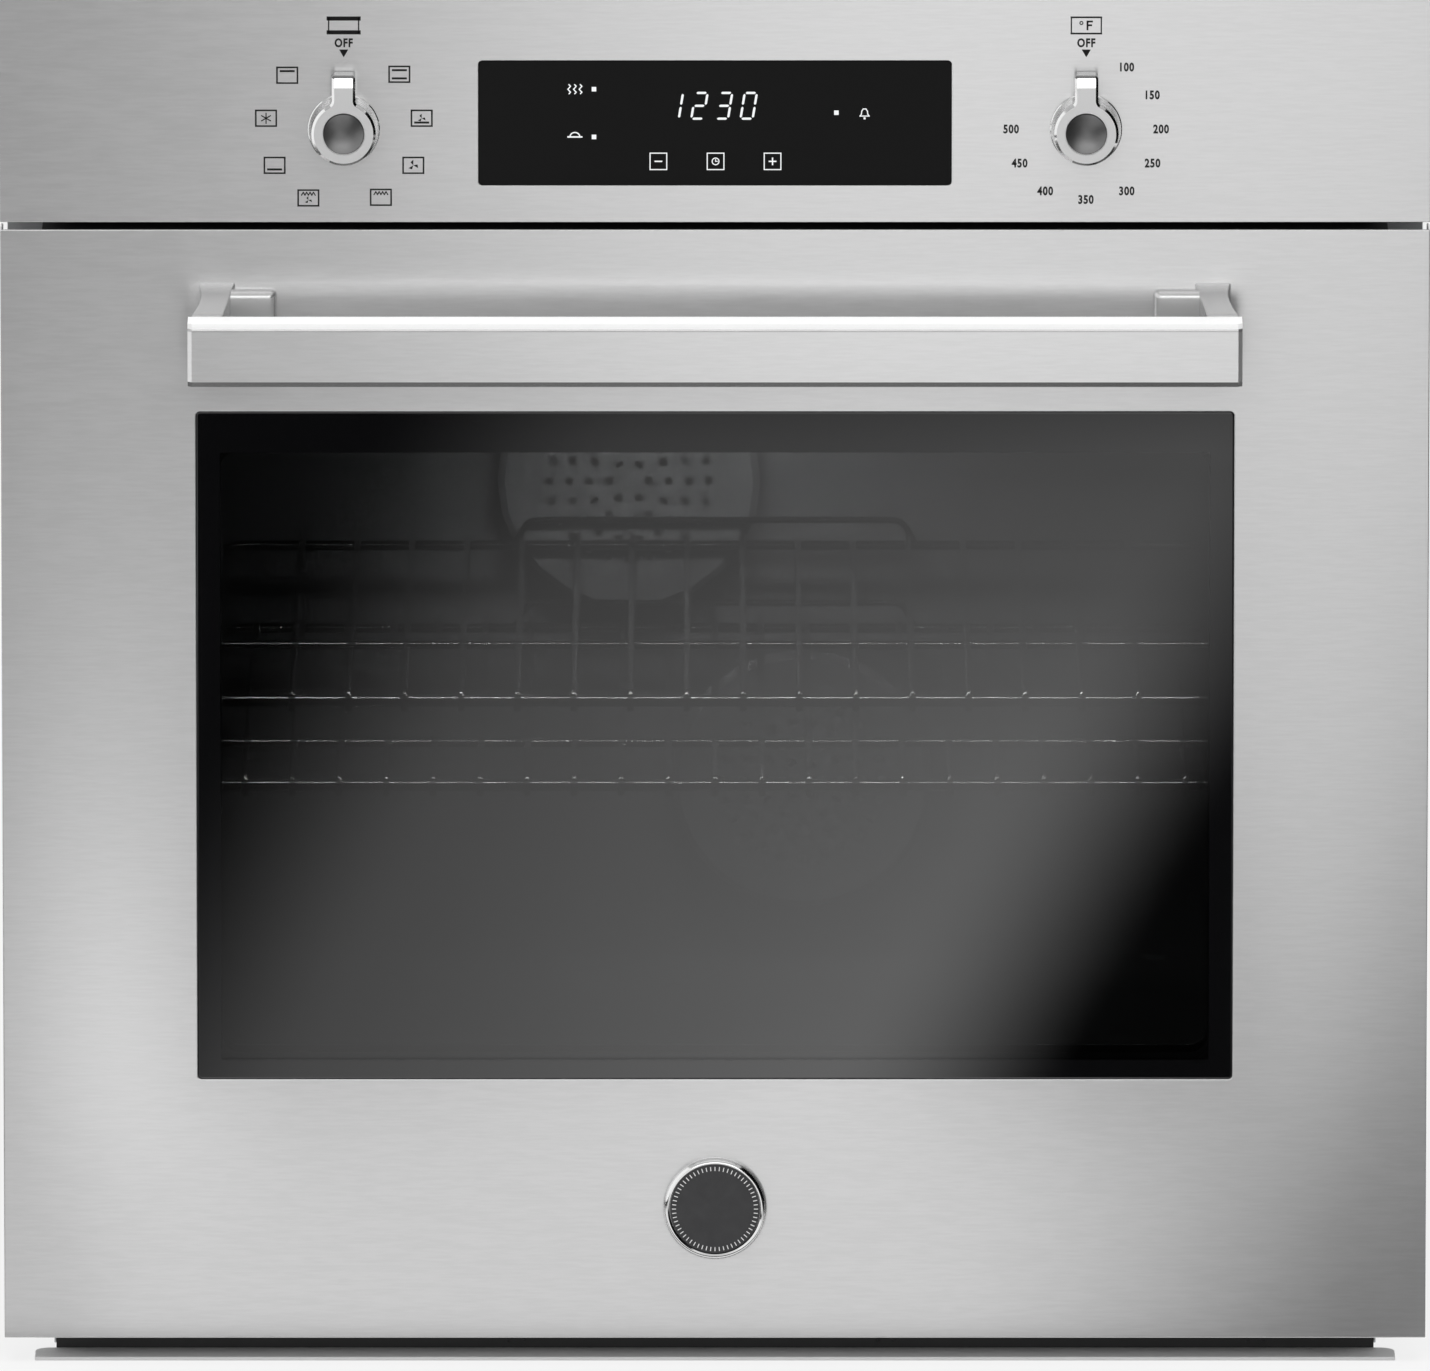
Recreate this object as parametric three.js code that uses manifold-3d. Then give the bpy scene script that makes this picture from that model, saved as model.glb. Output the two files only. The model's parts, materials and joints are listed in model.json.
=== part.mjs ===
// A built-in single wall oven of the 30-inch class, as an assembly of separate pieces.
// Millimetres. X to the right, Y to the back, Z up. While the pieces are made, Y is 0 at the front plane of the
// door and Z is 0 at the underside; at the end the whole is moved so that the origin is under its middle.

import * as THREE from 'three';
import { mergeVertices } from 'three/addons/utils/BufferGeometryUtils.js';
import { ConvexGeometry } from 'three/addons/geometries/ConvexGeometry.js';
import Module from 'manifold-3d';

const wasm = await Module();
wasm.setup();

// ---------------------------------------------------------------- driving dimensions

// Whole oven
const frontWidth = 756;
const panelHeight = 120;
const panelGap = 4; // between the door's top and the control panel
const doorHeight = 599;
const doorLift = 13; // the door's lower edge above the underside
const skin = 1.5; // stainless front sheet
const sheet = 1.2; // chassis sheet
const fit = 0.3; // clearance between pieces that touch

// Chassis
const chassisWidth = 705;
const chassisDrop = 24; // the casing's top below the control panel's top
const chassisDepth = 551; // front frame to rear panel
const frameSetback = 4.5; // from the closed door's back to the front frame
const frameBottom = 47;
const flangeWidth = 22.2; // side flange beyond the casing
const flangeReturn = 22;
const flangeBottom = 20;
const flangeDrop = 4; // the flange's top below the casing's top
const stripSetback = 28; // front strip of the base pan
const stripClearance = 1.5; // under the door
const lowerFrontSetback = 2; // of the lower front behind the front frame
const trimWidth = 724;
const trimFront = 3;
const trimTop = 1.9;
const trimSheet = 1.1;
const trimCorner = 8;

// Vent slots
const slotWidth = 5;
const slotPitch = 16;
const slotLength = 50;
const slotInset = 28; // from the casing's top
const slotCount = 12;
const sideSlotCount = 9;
const rearSlotShift = 60;
const coverSlotRise = 60; // above the rear cover's lower edge

// Rear
const rearCoverWidth = 400;
const rearCoverHeight = 380;
const rearCoverBottom = 105;
const rearCoverDepth = 28;
const rearCoverTaper = 20;
const terminalBoxWidth = 110;
const terminalBoxHeight = 84;
const terminalBoxDepth = 27;
const terminalBoxPlace = { inset: 67.5, z: 600 }; // from the casing's side

// Cavity
const cavityMargin = 68.5; // from the casing's side to the cavity's inside
const cavityHeight = 424;
const cavityDepth = 512;
const cavityFloor = 108;
const cavityWall = 1.5;
const cavityCorner = 18;
const mouthFlange = 16;
const gasketWidth = 10;
const gasketOffset = 9; // from the mouth's edge to the gasket

// Door
const doorDepth = 42;
const returnDepth = 20; // folded edge of the door's skin
const hingeAxis = { y: 14, z: 28 };
const windowMargin = 77.75; // from the casing's side to the window's edge
const windowHeight = 360.6;
const windowBottom = 153.6;
const windowCorner = 2.2;
const glassThickness = 4;
const clearMargin = 12.75; // dark border at the sides of the see-through field
const clearHeight = 328;
const clearBottom = 164;
const clearCorner = 10;
const innerGlassMargin = 10;
const linerSetIn = 22; // liner's side from the door's edge
const linerLift = 4;
const glassFrameRim = 11;
const middleGlassSetback = 22;

// Handle
const handleWidth = 556;
const handleFront = 60; // front of the bar, ahead of the door
const handleDepth = 24;
const handleBottom = 538;
const handleHeight = 34;
const handleBevel = 3;
const bracketRootTop = 584;
const bracketRootBottom = 531;
const postRoot = [255, 272];
const postTip = [258, 277];
const footReach = 231;
const footDepth = 22;

// Badge
const badgeRadius = 27.6;
const badgeDepth = 5;
const badgeRim = 4;
const badgeHeight = 84;

// Control panel
const knobSpacing = 392;
const controlRise = 50; // knob axes above the panel's lower edge
const displayWidth = 250;
const displayHeight = 67;
const displayRise = 19.7; // above the panel's lower edge
const displayCorner = 2.2;
const displayThickness = 3;
const panelReturn = 20;
const boardDepth = 20;
const boardMargin = 9;
const switchRadius = 21;
const switchDepth = 34;
const housingRise = 4; // above the panel's lower edge
const housingDepth = 60;
const housingMargin = 6; // from the casing's inside
const housingDrop = 12; // its walls' top below the casing's top

// Knob
const knobRadius = 17;
const knobSkirt = 19;
const knobHeight = 16.4;
const capRadius = 10.8;
const capDepth = 1.6;
const leverWidth = 11;
const leverReach = 31;
const stemRadius = 3.9;
const stemLength = 13;

// Racks
const upperRackHeight = 342;
const lowerRackHeight = 296;
const rackMargin = 14; // between a rack's side rail and the cavity's wall
const rackFront = 38.5; // front rail behind the front frame
const rackDepth = 443;
const railRadius = 3;
const wireRadius = 2;
const upperWirePitch = 30.05;
const lowerWirePitch = 25.05;
const upperWireMargin = 40; // least, from a side rail to the first wire
const lowerWireMargin = 19;
const upperMidRail = 158;
const lowerMidRail = 119;
const stopHeight = 10;
const stopWidth = 204;
const supportLevels = 7;
const lowestLevel = 158;
const supportPitch = 46;
const supportRadius = 2.5;
const uprightInset = 25;

// Convection fans, their covers and heating rings, on the back wall
const upperFan = { x: -47, z: 376.7 };
const lowerFan = { x: 47.7, z: 210.4 };
const coverRadius = 78;
const coverDepth = 26;
const coverFlange = 6;
const coverSheet = 1.2;
const holeRadius = 2.7;
const holeRingPitch = 10.9;
const holeRings = 4;
const fanRadius = 50;
const fanBlades = 10;
const ringRadius = 61;
const elementRadius = 3.2;
const motorRadius = 36;
const motorDepth = 36;
const shaftRadius = 4;
const motorGap = 5; // between the cavity's back and the motor
const shaftSeat = 6; // depth of the shaft in the motor

// Grill element and lamps
const broilDrop = 22;
const broilPitch = 62;
const broilPasses = 6;
const lampRadius = 26;
const lampSeat = 22;
const lampPlace = { y: 300, z: 486 };

// Cooling blower and its duct
const blowerWidth = 264;
const blowerRadius = 32;
const blowerBack = 127.5; // axis ahead of the rear panel
const blowerRise = 54; // axis above the duct's floor
const blowerBlades = 10;
const ductHeight = 22;
const ductMouth = 396;
const ductLift = 54; // duct's floor above the cavity's mouth

// Hinges
const hingeInset = 26.5; // from the casing's side to the arm's middle
const armThickness = 6;
const armHeight = 12;
const armEnd = 76;
const pinRadius = 4;
const caseWidth = 15;
const caseHeight = 160;
const caseWall = 2.4;
const receiverTop = 66;

// Latch
const latchPivot = { x: -20, y: 62 };
const latchDrop = 43.5; // hook below the door's top
const latchThickness = 3;
const latchReach = 34;
const latchSlot = [-36, 22];
const latchPlate = { left: 30, right: 70, back: 22, thickness: 8 }; // from the pivot
const latchPin = 4;

// ---------------------------------------------------------------- worked-out places

const doorBottom = doorLift;
const doorTop = doorBottom + doorHeight;
const panelBottom = doorTop + panelGap;
const panelTop = panelBottom + panelHeight;
const chassisHeight = panelTop - chassisDrop;
const halfFront = frontWidth / 2;
const frameFront = doorDepth + frameSetback;
const frameBack = frameFront + sheet;
const rearFace = frameFront + chassisDepth;
const halfCasing = chassisWidth / 2;
const halfInside = halfCasing - sheet - fit;
const flangeReach = halfCasing + fit + flangeWidth;
const flangeTop = chassisHeight - flangeDrop;
const stripTop = doorBottom - stripClearance;
const lowerFront = frameFront + lowerFrontSetback;
const mouthLow = cavityFloor;
const mouthHigh = cavityFloor + cavityHeight;
const cavityFront = frameBack + fit;
const controlHeight = panelBottom + controlRise;
const displayBottom = panelBottom + displayRise;
const displayTop = displayBottom + displayHeight;
const housingBottom = panelBottom + housingRise;
const housingHalf = halfInside - housingMargin;
const ductBottom = mouthHigh + ductLift;
const blowerAxis = { y: rearFace - blowerBack, z: ductBottom + blowerRise };
const latchHeight = doorTop - latchDrop;
const backWall = frameFront + cavityDepth;
const windowWidth = 2 * (halfCasing - windowMargin);
const clearWidth = windowWidth - 2 * clearMargin;
const halfCavity = halfCasing - cavityMargin;
const rackWidth = 2 * (halfCavity - rackMargin);
const hingeMiddle = halfCasing - hingeInset;
const rackNose = frameFront + rackFront;
const linerHalf = halfFront - linerSetIn;
const linerTop = doorTop - fit;
const windowTop = windowBottom + windowHeight;
const rearmost = rearFace + fit + rearCoverDepth;

// ---------------------------------------------------------------- materials

function finish(colour, roughness, metalness) {
  return new THREE.MeshStandardMaterial({ color: colour, roughness, metalness });
}

const stainless = finish(0xc4c4c2, 0.32, 1.0);
const polished = finish(0xe2e2e2, 0.1, 1.0);
const galvanised = finish(0x9fa3a6, 0.5, 0.9);
const enamel = finish(0x26272a, 0.35, 0.1);
const blackSheet = finish(0x141414, 0.45, 0.2);
const blackPlastic = finish(0x1a1a1b, 0.4, 0.0);
const darkGlass = new THREE.MeshStandardMaterial({
  color: 0x101113, roughness: 0.05, metalness: 0, transparent: true, opacity: 0.6,
});
const displayGlass = finish(0x0c0c0d, 0.06, 0.0);
const wire = finish(0xb8b8b6, 0.25, 1.0);
const element = finish(0x4a4744, 0.5, 0.6);
const glassFibre = finish(0x6d6a64, 0.9, 0.0);
const lampGlass = finish(0xe9e4d6, 0.1, 0.0);

// ---------------------------------------------------------------- solids

// A closed geometry as a solid; slivers that a lathe leaves on its axis are dropped.
function toSolid(geometry) {
  const bare = geometry.clone();
  bare.deleteAttribute('normal');
  bare.deleteAttribute('uv');
  const welded = mergeVertices(bare, 1e-4);
  const index = welded.index.array;
  const faces = [];
  for (let i = 0; i < index.length; i += 3) {
    const [a, b, c] = [index[i], index[i + 1], index[i + 2]];
    if (a !== b && b !== c && c !== a) faces.push(a, b, c);
  }
  return new wasm.Manifold(new wasm.Mesh({
    numProp: 3,
    vertProperties: new Float32Array(welded.attributes.position.array),
    triVerts: new Uint32Array(faces),
  }));
}

function join(...solids) {
  return solids.reduce((whole, solid) => whole.add(solid));
}

function cut(solid, ...tools) {
  return tools.reduce((rest, tool) => rest.subtract(tool), solid);
}

function block([x0, x1], [y0, y1], [z0, z1]) {
  const box = new THREE.BoxGeometry(x1 - x0, y1 - y0, z1 - z0);
  box.translate((x0 + x1) / 2, (y0 + y1) / 2, (z0 + z1) / 2);
  return toSolid(box);
}

function rectangle([u0, u1], [v0, v1], radius = 0) {
  const shape = new THREE.Shape();
  if (radius <= 0) {
    shape.moveTo(u0, v0).lineTo(u1, v0).lineTo(u1, v1).lineTo(u0, v1);
    return shape;
  }
  shape.absarc(u1 - radius, v0 + radius, radius, -Math.PI / 2, 0);
  shape.absarc(u1 - radius, v1 - radius, radius, 0, Math.PI / 2);
  shape.absarc(u0 + radius, v1 - radius, radius, Math.PI / 2, Math.PI);
  shape.absarc(u0 + radius, v0 + radius, radius, Math.PI, Math.PI * 1.5);
  return shape;
}

function polygon(points) {
  return new THREE.Shape(points.map(([u, v]) => new THREE.Vector2(u, v)));
}

function extruded(shape, length, segments) {
  return new THREE.ExtrudeGeometry(shape, { depth: length, bevelEnabled: false, curveSegments: segments });
}

// Outline in X and Z, thick along Y.
function plateXZ(shape, [y0, y1], segments = 4) {
  return toSolid(extruded(shape, y1 - y0, segments).rotateX(Math.PI / 2).translate(0, y1, 0));
}

// Outline in X and Y, thick along Z.
function plateXY(shape, [z0, z1], segments = 4) {
  return toSolid(extruded(shape, z1 - z0, segments).translate(0, 0, z0));
}

// Outline in Y and Z, thick along X.
function plateYZ(shape, [x0, x1], segments = 4) {
  const turn = new THREE.Matrix4().makeBasis(
    new THREE.Vector3(0, 1, 0), new THREE.Vector3(0, 0, 1), new THREE.Vector3(1, 0, 0));
  return toSolid(extruded(shape, x1 - x0, segments).applyMatrix4(turn).translate(x0, 0, 0));
}

// A round bar between two points.
function bar(start, end, radius, sides = 6) {
  const from = new THREE.Vector3(...start);
  const to = new THREE.Vector3(...end);
  const along = to.clone().sub(from);
  const rod = new THREE.CylinderGeometry(radius, radius, along.length(), sides);
  rod.applyQuaternion(new THREE.Quaternion().setFromUnitVectors(new THREE.Vector3(0, 1, 0), along.clone().normalize()));
  return toSolid(rod.translate(...from.add(to).divideScalar(2).toArray()));
}

// A profile of [radius, y] pairs turned about the Y axis.
function turned(profile, sides = 24) {
  return toSolid(new THREE.LatheGeometry(profile.map(([r, y]) => new THREE.Vector2(r, y)), sides));
}

// A tube of one radius along a smooth curve through points.
function tube(points, radius, steps, sides = 6) {
  const curve = new THREE.CatmullRomCurve3(points.map((p) => new THREE.Vector3(...p)), false, 'centripetal');
  const section = new THREE.Shape();
  for (let i = 0; i < sides; i += 1) {
    const angle = (i / sides) * Math.PI * 2;
    const point = [radius * Math.cos(angle), radius * Math.sin(angle)];
    if (i === 0) section.moveTo(...point);
    else section.lineTo(...point);
  }
  return toSolid(new THREE.ExtrudeGeometry(section, { steps, bevelEnabled: false, extrudePath: curve }));
}

// The hull of two rectangles that face each other along Y.
function loft([y0, xs0, zs0], [y1, xs1, zs1]) {
  const corners = [];
  for (const [y, xs, zs] of [[y0, xs0, zs0], [y1, xs1, zs1]]) {
    for (const x of xs) {
      for (const z of zs) corners.push(new THREE.Vector3(x, y, z));
    }
  }
  return toSolid(new ConvexGeometry(corners));
}

const oven = new THREE.Group();

function place(name, solid, material, parent) {
  const mesh = solid.getMesh();
  const geometry = new THREE.BufferGeometry();
  geometry.setAttribute('position', new THREE.BufferAttribute(new Float32Array(mesh.vertProperties), 3));
  geometry.setIndex(Array.from(mesh.triVerts));
  geometry.computeVertexNormals();
  const piece = new THREE.Mesh(geometry, material);
  piece.name = name;
  parent.add(piece);
}

function group(x = 0, y = 0, z = 0) {
  const nest = new THREE.Group();
  nest.position.set(x, y, z);
  oven.add(nest);
  return nest;
}

const sides = [['left', -1], ['right', 1]];
const hexFlat = Math.cos(Math.PI / 6); // half width over the flats of a six-sided bar of radius 1

// A range on X, mirrored for the left side and kept in rising order.
function sideways(side, near, far) {
  return side > 0 ? [near, far] : [-far, -near];
}

// ---------------------------------------------------------------- casing

const armGap = armThickness / 2 + 2;

function basePan() {
  const stepBack = lowerFront + sheet + fit;
  const profile = polygon([
    [stripSetback, 0],
    [rearFace - sheet - fit, 0],
    [rearFace - sheet - fit, sheet],
    [stripSetback + sheet, sheet],
    [stripSetback + sheet, stripTop - sheet],
    [stepBack, stripTop - sheet],
    [stepBack, stripTop],
    [stripSetback, stripTop],
  ]);
  return plateYZ(profile, [-halfInside, halfInside]);
}

function lowerFrontSheet() {
  const plate = block([-halfInside, halfInside], [lowerFront, lowerFront + sheet], [stripTop + fit, frameBottom - fit]);
  const slots = sides.map(([, side]) => block(
    sideways(side, hingeMiddle - armGap, hingeMiddle + armGap),
    [lowerFront - 1, lowerFront + sheet + 1],
    [hingeAxis.z - armHeight / 2 - 2, hingeAxis.z + armHeight / 2 + 2],
  ));
  return cut(plate, ...slots);
}

function bottomTrim() {
  const half = trimWidth / 2;
  const back = stripSetback - fit;
  const outline = new THREE.Shape();
  outline.moveTo(-half, trimFront);
  outline.lineTo(half, trimFront);
  outline.lineTo(half, back - trimCorner);
  outline.absarc(half - trimCorner, back - trimCorner, trimCorner, 0, Math.PI / 2);
  outline.lineTo(-half + trimCorner, back);
  outline.absarc(-half + trimCorner, back - trimCorner, trimCorner, Math.PI / 2, Math.PI);
  const top = plateXY(outline, [trimTop - trimSheet, trimTop]);
  const lip = block([-half, half], [trimFront, trimFront + trimSheet], [0, trimTop]);
  return join(top, lip);
}

// A row of upright slots through a sheet, as cutting solids.
function slotRow(count, pitch, [across0, across1], make) {
  const start = -((count - 1) * pitch) / 2;
  const slots = [];
  for (let i = 0; i < count; i += 1) {
    const middle = start + i * pitch;
    slots.push(make(middle, across0, across1));
  }
  return slots;
}

const slotSpan = [chassisHeight - slotInset - slotLength, chassisHeight - slotInset];

function sidePanel(side) {
  const reach = sideways(side, halfCasing - sheet, halfCasing);
  const through = sideways(side, halfCasing - sheet - 1, halfCasing + 1);
  const panel = block(reach, [cavityFront, rearFace - sheet - fit], [0, chassisHeight]);
  const middle = (cavityFront + rearFace) / 2;
  const slots = slotRow(sideSlotCount, slotPitch, slotSpan,
    (y, low, high) => block(through, [middle + y - slotWidth / 2, middle + y + slotWidth / 2], [low, high]));
  return cut(panel, ...slots);
}

function topPanel() {
  const lid = block([-halfInside, halfInside], [cavityFront, rearFace - sheet - fit], [chassisHeight - sheet, chassisHeight]);
  const slots = slotRow(slotCount, slotPitch, [blowerAxis.y - slotLength / 2, blowerAxis.y + slotLength / 2],
    (x, near, far) => block([x - slotWidth / 2, x + slotWidth / 2], [near, far], [chassisHeight - sheet - 1, chassisHeight + 1]));
  return cut(lid, ...slots);
}

function rearPanel() {
  const panel = block([-halfCasing, halfCasing], [rearFace - sheet, rearFace], [0, chassisHeight]);
  const through = [rearFace - sheet - 1, rearFace + 1];
  const slots = slotRow(slotCount, slotPitch, slotSpan,
    (x, low, high) => block([x + rearSlotShift - slotWidth / 2, x + rearSlotShift + slotWidth / 2], through, [low, high]));
  const motorHoles = [upperFan, lowerFan].map(({ x, z }) =>
    bar([x, rearFace - sheet - 1, z], [x, rearFace + 1, z], motorRadius + 6, 16));
  return cut(panel, ...slots, ...motorHoles);
}

function rearCover() {
  const base = rearFace + fit;
  const half = rearCoverWidth / 2;
  const low = rearCoverBottom;
  const high = rearCoverBottom + rearCoverHeight;
  const taper = rearCoverTaper;
  const shell = loft(
    [base, [-half, half], [low, high]],
    [rearmost, [-half + taper, half - taper], [low + taper, high - taper]],
  );
  const hollow = loft(
    [base - 1, [-half + sheet * 2, half - sheet * 2], [low + sheet * 2, high - sheet * 2]],
    [rearmost - sheet, [-half + taper + sheet, half - taper - sheet], [low + taper + sheet, high - taper - sheet]],
  );
  const slots = slotRow(slotCount, slotPitch, [low + coverSlotRise, low + coverSlotRise + slotLength],
    (x, bottom, top) => block([x - slotWidth / 2, x + slotWidth / 2], [rearmost - sheet - 1, rearmost + 1], [bottom, top]));
  return cut(shell, hollow, ...slots);
}

function terminalBox() {
  const { inset, z } = terminalBoxPlace;
  const x = inset - halfCasing;
  const [w, h, d] = [terminalBoxWidth, terminalBoxHeight, terminalBoxDepth];
  const front = rearFace + fit;
  const box = block([x, x + w], [front, front + d], [z, z + h]);
  const lid = block([x - 3, x + w + 3], [front + d - 4, front + d], [z - 3, z + h + 3]);
  const inside = block([x + 2, x + w - 2], [front - 1, front + d - 2], [z + 2, z + h - 2]);
  return cut(join(box, lid), inside);
}

function frontFrame() {
  const frame = block([-halfInside, halfInside], [frameFront, frameBack], [frameBottom, chassisHeight - sheet - fit]);
  const through = [frameFront - 1, frameBack + 1];
  const mouth = plateXZ(rectangle([-halfCavity, halfCavity], [mouthLow, mouthHigh], cavityCorner), through);
  const air = block([-ductMouth / 2, ductMouth / 2], through, [ductBottom + 2, ductBottom + ductHeight - 2]);
  const latch = block(latchSlot, through, [latchHeight - 3, latchHeight + latchThickness + 3]);
  const controls = block([-housingHalf + 10, housingHalf - 10], through, [housingBottom + 4, chassisHeight - 10]);
  return cut(frame, mouth, air, latch, controls);
}

function flange(side) {
  const back = frameFront + skin;
  const inner = halfCasing + fit;
  const face = block(sideways(side, inner, flangeReach), [frameFront, back], [flangeBottom, flangeTop]);
  const fold = block(sideways(side, inner, inner + sheet), [frameFront, back + flangeReturn], [flangeBottom, flangeTop]);
  const holes = [];
  const holeRows = 4;
  for (let i = 0; i < holeRows; i += 1) {
    const z = flangeBottom + ((i + 0.5) * (flangeTop - flangeBottom)) / holeRows;
    const middle = side * (inner + flangeReach) / 2;
    holes.push(plateXZ(rectangle([middle - 3, middle + 3], [z - 6, z + 6], 2.9), [frameFront - 1, back + 1], 1));
  }
  return cut(join(face, fold), ...holes);
}

// ---------------------------------------------------------------- cavity

function ovenCavity() {
  const outerHalf = halfCavity + cavityWall;
  const body = plateXZ(rectangle([-outerHalf, outerHalf], [mouthLow - cavityWall, mouthHigh + cavityWall],
    cavityCorner + cavityWall), [cavityFront, backWall + cavityWall]);
  const lip = plateXZ(rectangle([-halfCavity - mouthFlange, halfCavity + mouthFlange],
    [mouthLow - mouthFlange, mouthHigh + mouthFlange], cavityCorner + mouthFlange), [cavityFront, cavityFront + sheet]);
  const inside = plateXZ(rectangle([-halfCavity, halfCavity], [mouthLow, mouthHigh], cavityCorner),
    [cavityFront - 1, backWall]);
  const shaftHoles = [upperFan, lowerFan].map(({ x, z }) =>
    bar([x, backWall - 1, z], [x, backWall + cavityWall + 1, z], shaftRadius * 2, 10));
  const lampHoles = sides.map(([, side]) =>
    bar([side * (halfCavity - 2), lampPlace.y, lampPlace.z], [side * (outerHalf + 2), lampPlace.y, lampPlace.z],
      lampSeat + fit * 2, 14));
  return cut(join(body, lip), inside, ...shaftHoles, ...lampHoles);
}

function doorGasket() {
  const near = gasketOffset;
  const far = gasketOffset + gasketWidth;
  const ring = (offset) => rectangle([-halfCavity - offset, halfCavity + offset],
    [mouthLow - offset, mouthHigh + offset], cavityCorner + offset);
  const span = [doorDepth + fit, frameFront - fit];
  return cut(plateXZ(ring(far), span), plateXZ(ring(near), [span[0] - 1, span[1] + 1]));
}

function rackSupport(side) {
  const wall = side * (halfCavity - supportRadius * hexFlat - fit);
  const shelf = side * (rackWidth / 2);
  const front = rackNose + 15;
  const back = rackNose + rackDepth - 25;
  const top = lowestLevel + (supportLevels - 1) * supportPitch + uprightInset;
  const bottom = lowestLevel - uprightInset;
  const wires = [];
  for (const y of [front, back]) {
    wires.push(bar([wall, y, bottom], [wall, y, top], supportRadius));
  }
  for (let level = 0; level < supportLevels; level += 1) {
    const z = lowestLevel + level * supportPitch - railRadius - fit - supportRadius;
    wires.push(bar([shelf, front - supportRadius, z], [shelf, back + supportRadius, z], supportRadius));
    wires.push(bar([wall, front, z], [shelf, front, z], supportRadius, 4));
    wires.push(bar([wall, back, z], [shelf, back, z], supportRadius, 4));
  }
  return join(...wires);
}

const motorStart = coverDepth + cavityWall + motorGap;

// The cover stands on the back wall; Y runs from its front face to the wall.
function fanCover() {
  const wallY = coverDepth - fit;
  const drum = coverRadius - coverFlange;
  const outside = turned([
    [0, 0], [drum - 4, 0], [drum, 4], [drum, wallY - coverSheet], [coverRadius, wallY - coverSheet],
    [coverRadius, wallY], [0, wallY],
  ], 24);
  const inside = turned([
    [0, coverSheet], [drum - 4.5, coverSheet], [drum - coverSheet, 4.5], [drum - coverSheet, wallY + 1], [0, wallY + 1],
  ], 24);
  const holes = [];
  for (let ring = 1; ring <= holeRings; ring += 1) {
    for (let i = 0; i < ring * 6; i += 1) {
      const angle = (i / (ring * 6)) * Math.PI * 2;
      const x = ring * holeRingPitch * Math.cos(angle);
      const z = ring * holeRingPitch * Math.sin(angle);
      holes.push(bar([x, -1, z], [x, coverSheet + 1, z], holeRadius, 6));
    }
  }
  return cut(outside, inside, ...holes);
}

function fanWheel() {
  const back = coverDepth - 5;
  const front = 6;
  const plate = bar([0, back - 1.2, 0], [0, back, 0], fanRadius, 24);
  const hub = bar([0, front - 2, 0], [0, back + 1, 0], 9, 12);
  const shaft = bar([0, back, 0], [0, motorStart + shaftSeat - fit, 0], shaftRadius, 10);
  const blades = [];
  for (let i = 0; i < fanBlades; i += 1) {
    const blade = block([18, fanRadius - 1], [front, back - 0.5], [-0.7, 0.7]);
    blades.push(blade.rotate([0, (360 * i) / fanBlades, 0]));
  }
  return join(plate, hub, shaft, ...blades);
}

function fanMotor() {
  const start = motorStart;
  const end = start + motorDepth;
  const body = turned([
    [0, start], [motorRadius * 0.7, start],
    [motorRadius * 0.75, start + 4], [motorRadius, start + 6], [motorRadius, end - 4], [motorRadius - 4, end], [0, end],
  ], 14);
  const pocket = bar([0, start - 1, 0], [0, start + shaftSeat, 0], shaftRadius + fit, 10);
  const feet = [-1, 1].map((side) =>
    block(side > 0 ? [motorRadius - 4, motorRadius + 12] : [-motorRadius - 12, -motorRadius + 4],
      [coverDepth + cavityWall + fit, start + 10], [-6, 6]));
  return cut(join(body, ...feet), pocket);
}

// A ring element with its two ends turned back to the wall.
function ringElement() {
  const middle = coverDepth / 2 + 2;
  const wallY = coverDepth - fit * 2;
  const opening = 0.16;
  const points = [];
  const arcs = 16;
  for (let i = 0; i <= arcs; i += 1) {
    const angle = -Math.PI / 2 + opening + (i / arcs) * (Math.PI * 2 - opening * 2);
    points.push([ringRadius * Math.cos(angle), middle, ringRadius * Math.sin(angle)]);
  }
  const first = points[0];
  const last = points[points.length - 1];
  points.unshift([first[0] - 0.5, middle + 7, first[2]]);
  points.unshift([first[0] - 0.5, wallY, first[2]]);
  points.push([last[0] + 0.5, middle + 7, last[2]]);
  points.push([last[0] + 0.5, wallY, last[2]]);
  return tube(points, elementRadius, 32, 5);
}

function broilElement() {
  const z = mouthHigh - broilDrop;
  const start = -((broilPasses - 1) * broilPitch) / 2;
  const rear = backWall - fit;
  const near = rackNose + 40;
  const far = backWall - 60;
  const bend = broilPitch / 2;
  const points = [[start, rear, z]];
  for (let i = 0; i < broilPasses; i += 1) {
    const x = start + i * broilPitch;
    const run = [far, far - bend, (near + far) / 2, near + bend, near];
    if (i % 2 === 1) run.reverse();
    for (const y of run) points.push([x, y, z]);
  }
  points.push([-start, rear, z]);
  const middle = (near + far) / 2;
  const hangers = sides.map(([, side]) =>
    block([side * start - 2, side * start + 2], [middle - 6, middle + 6], [z - 5, mouthHigh - fit]));
  return join(tube(points, elementRadius, 64, 5), ...hangers);
}

function ovenLamp(side) {
  const wall = halfCavity;
  const lamp = turned([
    [0, -9], [lampRadius * 0.6, -7.5], [lampRadius * 0.85, -3.5], [lampRadius, -2], [lampRadius, -fit],
    [lampSeat, -fit], [lampSeat, 30], [lampSeat - 6, 38], [0, 38],
  ], 14);
  return lamp.rotate([0, 0, -90 * side]).translate([side * wall, lampPlace.y, lampPlace.z]);
}

// ---------------------------------------------------------------- cooling

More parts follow.
